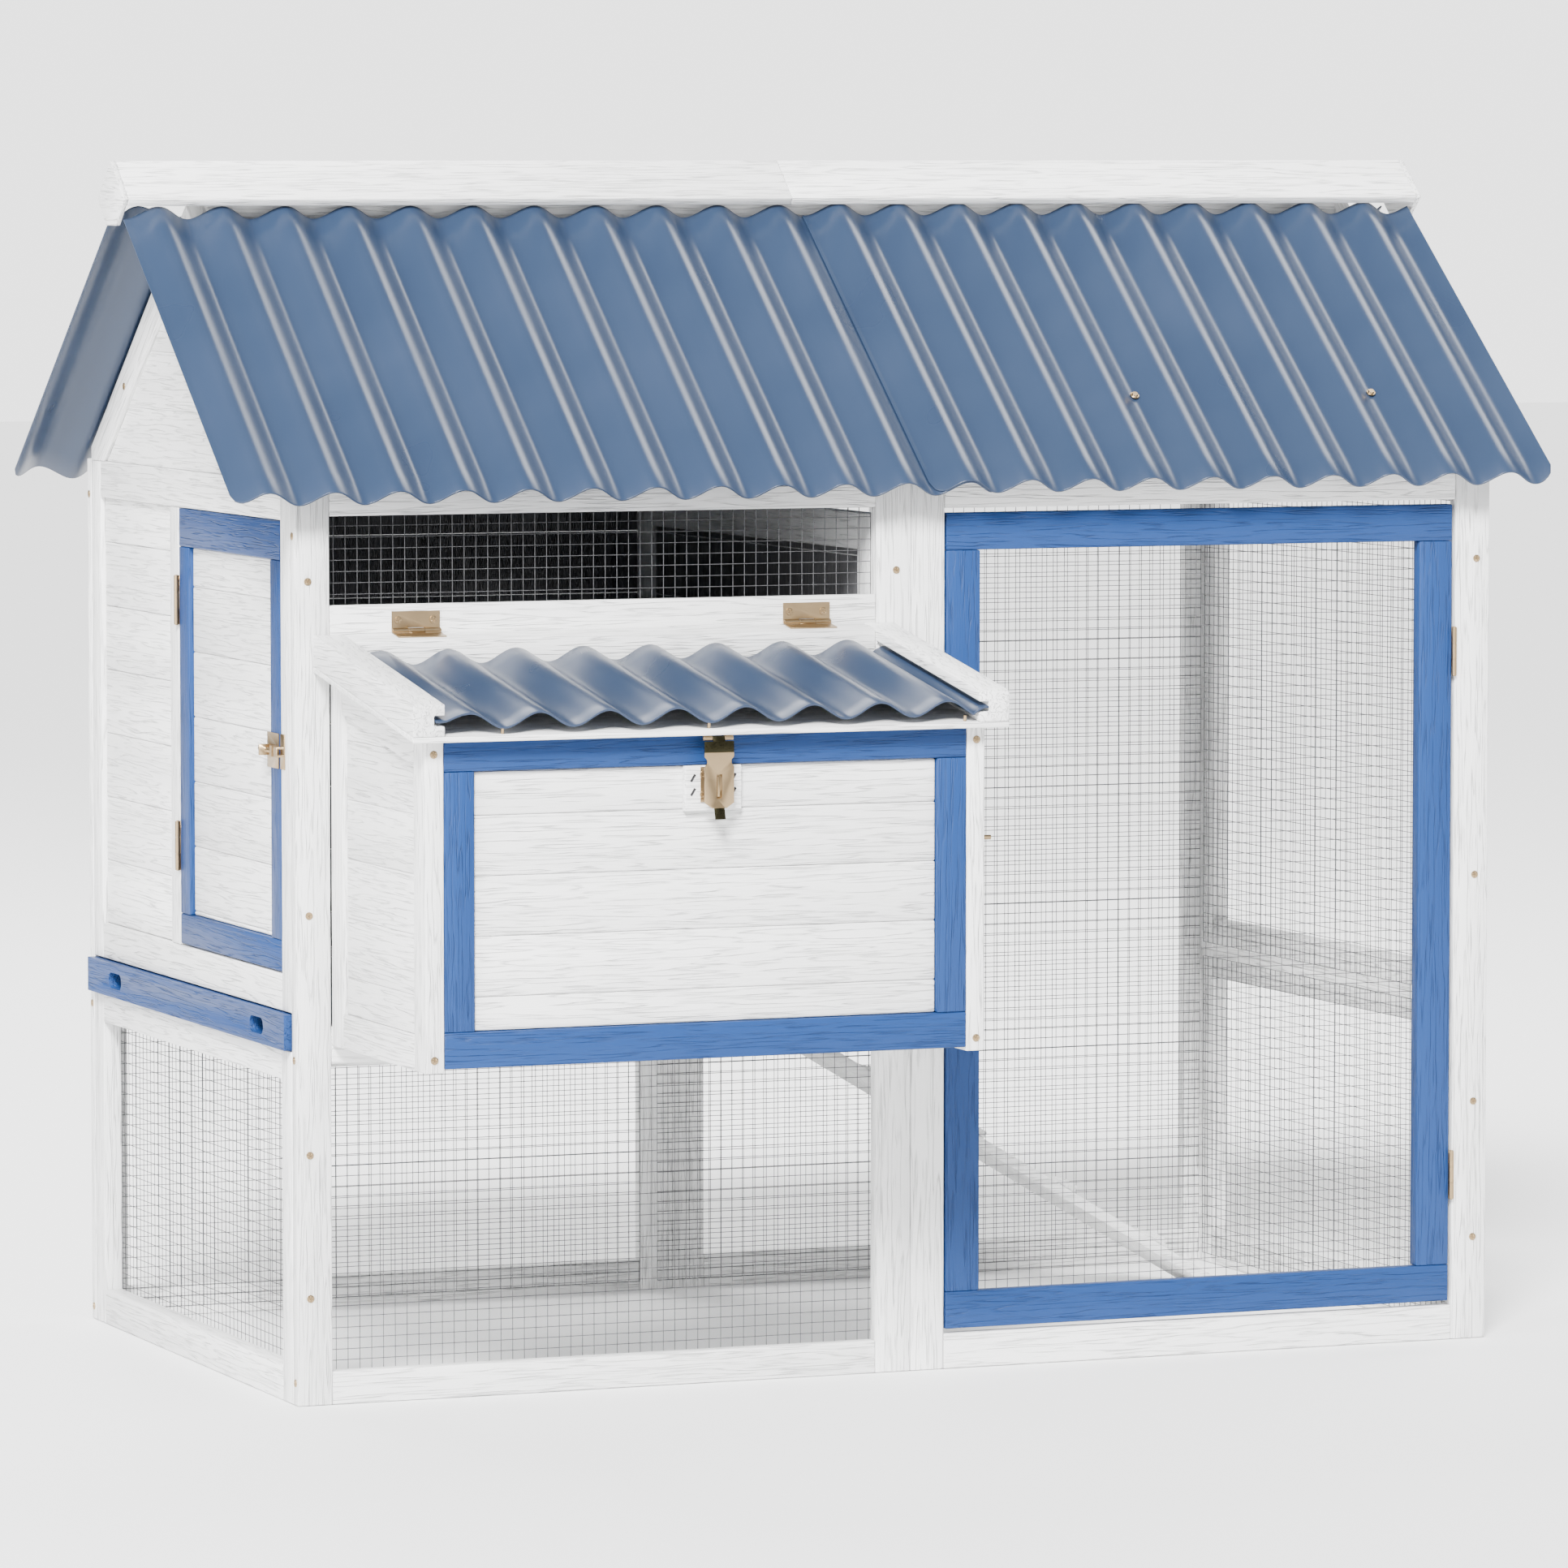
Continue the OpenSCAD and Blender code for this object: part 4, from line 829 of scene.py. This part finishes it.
class COOP_OT_lid_sheet(Piece):
    """Make the corrugated sheet of the nest box's lid, its edges in the grooves of the rails"""
    bl_idname, bl_label = "coop.lid_sheet", "Lid sheet"

    def make(self):
        lo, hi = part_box("nest_lid_sheet")
        x0, x1 = (lo[0] - corner.x) * 1000, (hi[0] - corner.x) * 1000
        line = lid_line(x0, x1)
        angle = math.radians(LID_SLOPE)
        back = -LID_BACK
        length = (LID_OUT + back - LID_SHORT) / math.cos(angle)
        bm, rows, grid = bmesh.new(), LID_ROWS, {}
        for level in (0, 1):
            for j in range(rows + 1):
                for i, (px, pz) in enumerate(line):
                    before, after = line[max(i - 1, 0)], line[min(i + 1, len(line) - 1)]
                    slope = math.atan2(after[1] - before[1], after[0] - before[0])
                    ox, oz = -math.sin(slope) * LID_THICK * level, math.cos(slope) * LID_THICK * level
                    v, w = -length * j / rows, pz + oz
                    y = back + v * math.cos(angle) - w * math.sin(angle)
                    z = LID_UNDER + back * math.tan(angle) + v * math.sin(angle) + w * math.cos(angle)
                    grid[level, j, i] = bm.verts.new(at(min(max(px + ox, x0), x1), y, z))
        n = len(line) - 1
        for j in range(rows):
            for i in range(n):
                bm.faces.new([grid[1, j, i], grid[1, j + 1, i], grid[1, j + 1, i + 1], grid[1, j, i + 1]])
                bm.faces.new([grid[0, j, i], grid[0, j, i + 1], grid[0, j + 1, i + 1], grid[0, j + 1, i]])
        for i in range(n):
            for j in (0, rows):
                a = [grid[0, j, i], grid[0, j, i + 1], grid[1, j, i + 1], grid[1, j, i]]
                bm.faces.new(a if j else a[::-1])
        for j in range(rows):
            for i in (0, n):
                a = [grid[0, j, i], grid[0, j + 1, i], grid[1, j + 1, i], grid[1, j, i]]
                bm.faces.new(a if i else a[::-1])
        bmesh.ops.recalc_face_normals(bm, faces=bm.faces)
        mesh = bpy.data.meshes.new("nest_lid_waves")
        bm.to_mesh(mesh)
        bm.free()
        mesh.materials.append(material("corrugated sheet"))
        obj = soft_rim(link(bpy.data.objects.new("nest_lid_waves", mesh)), "nest_lid_waves")
        finish_piece(obj, ["nest_lid_sheet"], "nest_lid")


# in diameters of the head
HEAD_RINGS = (0.06, 0.12, 0.2, 0.28, 0.36, 0.43, 0.48, 0.5)
HEAD_UP, HEAD_DOME, HEAD_EDGE = 0.15, 0.25, 0.06      # height, fall towards the rim, rounding of the rim
RECESS_OUT, RECESS_MIDDLE = 0.3, 0.1                  # reach of the cross's arms and of its middle
RECESS_FLOOR, RECESS_POINT = 0.07, 0.06
HEAD_COLUMNS = 32


def screw_head():
    """A domed screw head of unit diameter with a cross recess, standing on its base along +Z."""
    bm = bmesh.new()
    seg = HEAD_COLUMNS
    arm = seg // 4          # columns of points from one arm of the cross to the next
    ways = [(math.cos(2 * math.pi * s / seg), math.sin(2 * math.pi * s / seg)) for s in range(seg)]
    centre = bm.verts.new((0, 0, RECESS_POINT))
    rows = []
    for r in HEAD_RINGS:
        row = []
        for s, (x, y) in enumerate(ways):
            z = HEAD_UP - HEAD_DOME * r * r - (HEAD_EDGE if r == HEAD_RINGS[-1] else 0.0)
            cross = min(s % arm, arm - s % arm) <= 1 and r < RECESS_OUT
            if cross or r < RECESS_MIDDLE:
                z = RECESS_FLOOR
            row.append(bm.verts.new((r * x, r * y, z)))
        rows.append(row)
    rim = HEAD_RINGS[-1]
    rows.append([bm.verts.new((rim * x, rim * y, 0.0)) for x, y in ways])
    for s in range(seg):
        bm.faces.new([centre, rows[0][s], rows[0][(s + 1) % seg]])
        for a, b in zip(rows, rows[1:]):
            bm.faces.new([a[s], b[s], b[(s + 1) % seg], a[(s + 1) % seg]])
    bm.faces.new([rows[-1][s] for s in reversed(range(seg))])
    mesh = bpy.data.meshes.new("screw_head")
    bm.to_mesh(mesh)
    bm.free()
    return link(bpy.data.objects.new("screw_head", mesh))


def point_mesh(points):
    mesh = bpy.data.meshes.new("points")
    mesh.from_pydata([tuple(p) for p in points], [], [])
    return mesh


# millimetres, as in the CAD
LID_HINGES = (129.6, 559)        # middles of the nest lid's two hinges along X
HINGE_SCREW = 18.8               # from the middle of a hinge to its screws
HINGE_FACE, HINGE_SCREW_UP = -1.1, 801
# metres, from the staple's middle, bottom and face
STAPLE_SCREWS_X, STAPLE_SCREWS_Z, STAPLE_SINK = (-0.011, 0.011), (0.0078, 0.0278), 0.0012


class COOP_OT_screws(Piece):
    """Make the screw heads on the frames, the lid's hinges and the staple's plate"""
    bl_idname, bl_label = "coop.screws", "Screws"

    def make(self):
        tree, head, f = head_tree(), screw_head(), look("fittings")
        bm = solid_copy("frame_screws")
        front, left = [], []
        for group in members(bm):
            lo, hi = extents(group)
            mid = (lo + hi) / 2
            if hi[1] - lo[1] < hi[0] - lo[0]:
                front.append((mid[0], hi[1], mid[2]))
            else:
                left.append((hi[0], mid[1], mid[2]))
        bm.free()
        for middle in LID_HINGES:
            for x in (middle - HINGE_SCREW, middle + HINGE_SCREW):
                front.append(at(x, HINGE_FACE, HINGE_SCREW_UP))
        lo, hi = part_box("lock_staple")
        for x in STAPLE_SCREWS_X:
            for z in STAPLE_SCREWS_Z:
                front.append(((lo[0] + hi[0]) / 2 + x, hi[1] - STAPLE_SINK, lo[2] + z))
        made = [grown(tree, name, {"Head": head, "Diameter": f.head, "Turn": turn,
                                   "Material": material("brass")}, point_mesh(points))
                for name, turn, points in (("front_heads", [math.pi / 2, 0.0, 0.0], front),
                                           ("left_heads", [0.0, -math.pi / 2, 0.0], left))]
        obj = joined(made, "frame_screw_heads")
        obj.data.shade_smooth()
        obj.data.set_sharp_from_angle(angle=math.radians(METAL_SMOOTH))
        finish_piece(obj, ["frame_screws"], "coop")
        bpy.data.objects.remove(head)


FITTING_EDGE, STRAP_EDGE, PAN_EDGE = 0.00022, 0.0003, 0.0003      # rounding of metal edges


class COOP_OT_hinges(Piece):
    """Finish the hinges, bolts, hooks and roof screws"""
    bl_idname, bl_label = "coop.hinges", "Hinges and bolts"

    def make(self):
        for node, body in (("fixed_hinge_leaves", "coop"), ("bolt_keepers", "coop"), ("ramp_hooks", "coop"),
                           ("roof_screws", "coop"), ("run_door_fittings", "run_door"),
                           ("run_door_bolt", "run_bolt"), ("side_door_fittings", "side_door"),
                           ("side_door_bolt", "side_bolt"), ("nest_lid_fittings", "nest_lid")):
            metal_piece(node, body, FITTING_EDGE, "brass", 1)


# the hasp's two end bands take a dark brass: painted shade and painted dark reflection
SHADE_BAND_UP, SHADE_BAND_DOWN = 0.0112, 0.0165      # the hasp's dark bands, from its lower and upper end
SLOTS_X, SLOTS_Z = (-0.0217, 0.0217), (-0.0037, 0.0103)      # the block's slots, from its middle
SLOT_SIZE, SLOT_LEAN = (0.0026, 0.004, 0.0085), math.radians(32)


class COOP_OT_lock(Piece):
    """Finish the hasp, with painted shade on two bands of it, its staple and the block behind them"""
    bl_idname, bl_label = "coop.lock", "Hasp and staple"

    def make(self):
        for node, body in (("hasp_strap", "hasp"), ("lock_staple", "coop")):
            lo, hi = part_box(node)
            low, high = lo[2] + SHADE_BAND_UP, hi[2] - SHADE_BAND_DOWN
            bm = solid_copy(node)
            if node == "hasp_strap":
                for z in (low, high):
                    bmesh.ops.bisect_plane(bm, geom=bm.verts[:] + bm.edges[:] + bm.faces[:],
                                           plane_co=(0, 0, z), plane_no=(0, 0, 1), dist=1e-6)
            metals = [material("brass"), material("brass in painted shade")]
            obj = rounded(bm, node + "_metal", STRAP_EDGE, metals, METAL_SMOOTH)
            if node == "hasp_strap":
                # painted shade: the bands beyond low and high get the dark brass, standing in for shade and
                # dark reflections
                for f in obj.data.polygons:
                    f.material_index = int(not low < f.center.z < high)
            finish_piece(obj, [node], body)
        self.block()

    def block(self):
        """The block behind the staple, with two slanted slots on each side, whose walls are made dark with
        the wire's material as painted shade.
        """
        lo, hi = (Vector(v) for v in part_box("lock_block"))
        middle = (lo + hi) / 2
        knife = bmesh.new()
        lean, shape = Matrix.Rotation(SLOT_LEAN, 4, "Y"), Matrix.Diagonal((*SLOT_SIZE, 1.0))
        for x in SLOTS_X:
            for z in SLOTS_Z:
                spot = Matrix.Translation((middle.x + x, lo.y, middle.z + z))
                bmesh.ops.create_cube(knife, size=1.0, matrix=spot @ lean @ shape)
        mesh = bpy.data.meshes.new("slots")
        knife.to_mesh(mesh)
        knife.free()
        # painted shade: the slots' walls take this dark material in place of the shade that falls in them
        mesh.materials.append(material("mesh wire and painted slot shade"))
        cutter = link(bpy.data.objects.new("slots", mesh))
        bm = solid_copy("lock_block")
        for f in bm.faces:
            f.material_index = 0
        obj = rounded(bm, "lock_block_plain", look("timber").edge, white_paint())
        cut = obj.modifiers.new("cut", "BOOLEAN")
        cut.object, cut.operation, cut.material_mode = cutter, "DIFFERENCE", "TRANSFER"
        done = plain(obj, "lock_block_timber")
        bpy.data.objects.remove(cutter)
        finish_piece(done, ["lock_block"], "coop")


class COOP_OT_pan(Piece):
    """Finish the tray's sheet-metal pan"""
    bl_idname, bl_label = "coop.pan", "Tray pan"

    def make(self):
        metal_piece("tray_pan", "tray", PAN_EDGE, "galvanised sheet", 1)


FLOOR_HALF, FLOOR_DROP = 30, 0.0005      # half the floor's side, and how far it lies below the feet
AHEAD = (0.374, 0.925, -0.07)            # the way the camera looks, where the backdrop is lit
GLOW_FROM, GLOW_FULL = 0.86, 0.97        # cosines between which the backdrop brightens
AIM = Vector((0, 0, 0.6))                # the point that the lights face
# name, kind, place, power (the key's is in the panel) and size, which is an angle for the sun
LIGHTS = (("key", "SUN", (-3.0, -5.2, 5.6), None, 0.3),
          ("fill", "AREA", (-5.0, -2.0, 2.2), 330.0, 2.5),
          ("side", "AREA", (5.0, -3.0, 3.0), 110.0, 2.5),
          ("streak", "AREA", (3.7, 1.65, 5.1), 210.0, 2.6),
          ("back", "AREA", (-0.5, 4.6, 5.0), 380.0, 3.0))
CAMERA_PLACE = (-2703.8, -8038.8, 1276.3)      # millimetres, from the same corner as at()
CAMERA_YAW, CAMERA_DOWN = math.radians(21.94), math.radians(4.318)
SENSOR, CAMERA_FAR = 36.0, 100


class COOP_OT_stage(Piece):
    """Set the floor, the lights and the camera"""
    bl_idname, bl_label = "coop.stage", "Floor, light and camera"

    def make(self):
        s = look("stage")
        scene = bpy.context.scene
        bm = bmesh.new()
        bmesh.ops.create_grid(bm, x_segments=1, y_segments=1, size=FLOOR_HALF)
        mesh = bpy.data.meshes.new("floor")
        bm.to_mesh(mesh)
        bm.free()
        mesh.transform(Matrix.Translation((0, 0, -FLOOR_DROP)))
        mesh.materials.append(material("pale floor"))
        floor = link(bpy.data.objects.new("floor", mesh))
        world = bpy.data.worlds.new("studio")
        world.use_nodes = True
        p = Paint(world.node_tree)
        back = world.node_tree.nodes["Background"]
        back.inputs["Color"].default_value = (1.0, 1.0, 1.0, 1.0)
        place = p.add("ShaderNodeTexCoord").outputs["Generated"]
        toward = p.add("ShaderNodeVectorMath", place, AHEAD, operation="DOT_PRODUCT").outputs["Value"]
        p.feed(back.inputs["Strength"], p.ramp(toward, GLOW_FROM, GLOW_FULL, s.sky, s.backdrop))
        scene.world = world
        for name, kind, place, power, wide in LIGHTS:
            data = bpy.data.lights.new(name, kind)
            data.energy = s.key if power is None else power
            setattr(data, "angle" if kind == "SUN" else "size", wide)
            lamp = link(bpy.data.objects.new(name, data))
            lamp.location = place
            lamp.rotation_euler = (AIM - Vector(place)).to_track_quat("-Z", "Y").to_euler()
        data = bpy.data.cameras.new("camera")
        data.lens, data.sensor_width = s.lens, SENSOR
        data.clip_end = CAMERA_FAR
        cam = link(bpy.data.objects.new("camera", data))
        cam.location = at(*CAMERA_PLACE)
        level = math.cos(CAMERA_DOWN)
        ahead = Vector((math.sin(CAMERA_YAW) * level, math.cos(CAMERA_YAW) * level, -math.sin(CAMERA_DOWN)))
        cam.rotation_euler = ahead.to_track_quat("-Z", "Y").to_euler()
        scene.camera = cam


OPERATORS = (COOP_OT_frames, COOP_OT_boards, COOP_OT_gables, COOP_OT_doors, COOP_OT_ramp, COOP_OT_ridge,
             COOP_OT_wires, COOP_OT_sheets, COOP_OT_lid_sheet, COOP_OT_screws, COOP_OT_hinges, COOP_OT_lock,
             COOP_OT_pan, COOP_OT_stage)


class COOP_PT_panel(bpy.types.Panel):
    bl_idname, bl_label = "COOP_PT_panel", "Chicken coop"
    bl_space_type, bl_region_type, bl_category = "VIEW_3D", "UI", "Coop"

    def draw(self, context):
        for name, kind in LOOKS.items():
            box = self.layout.box()
            for key in kind.__annotations__:
                box.prop(getattr(context.scene, name), key)
        for kind in OPERATORS:
            self.layout.operator(kind.bl_idname)


def register():
    for kind in (*LOOKS.values(), *OPERATORS, COOP_PT_panel):
        bpy.utils.register_class(kind)
    for name, kind in LOOKS.items():
        setattr(bpy.types.Scene, name, bpy.props.PointerProperty(type=kind))


def unregister():
    for name in LOOKS:
        delattr(bpy.types.Scene, name)
    for kind in (COOP_PT_panel, *reversed(OPERATORS), *reversed(LOOKS.values())):
        bpy.utils.unregister_class(kind)


def main():
    register()
    grain_group()
    wear_group()
    for kind in OPERATORS:
        group, call = kind.bl_idname.split(".")
        getattr(getattr(bpy.ops, group), call)()


if __name__ == "__main__":
    main()
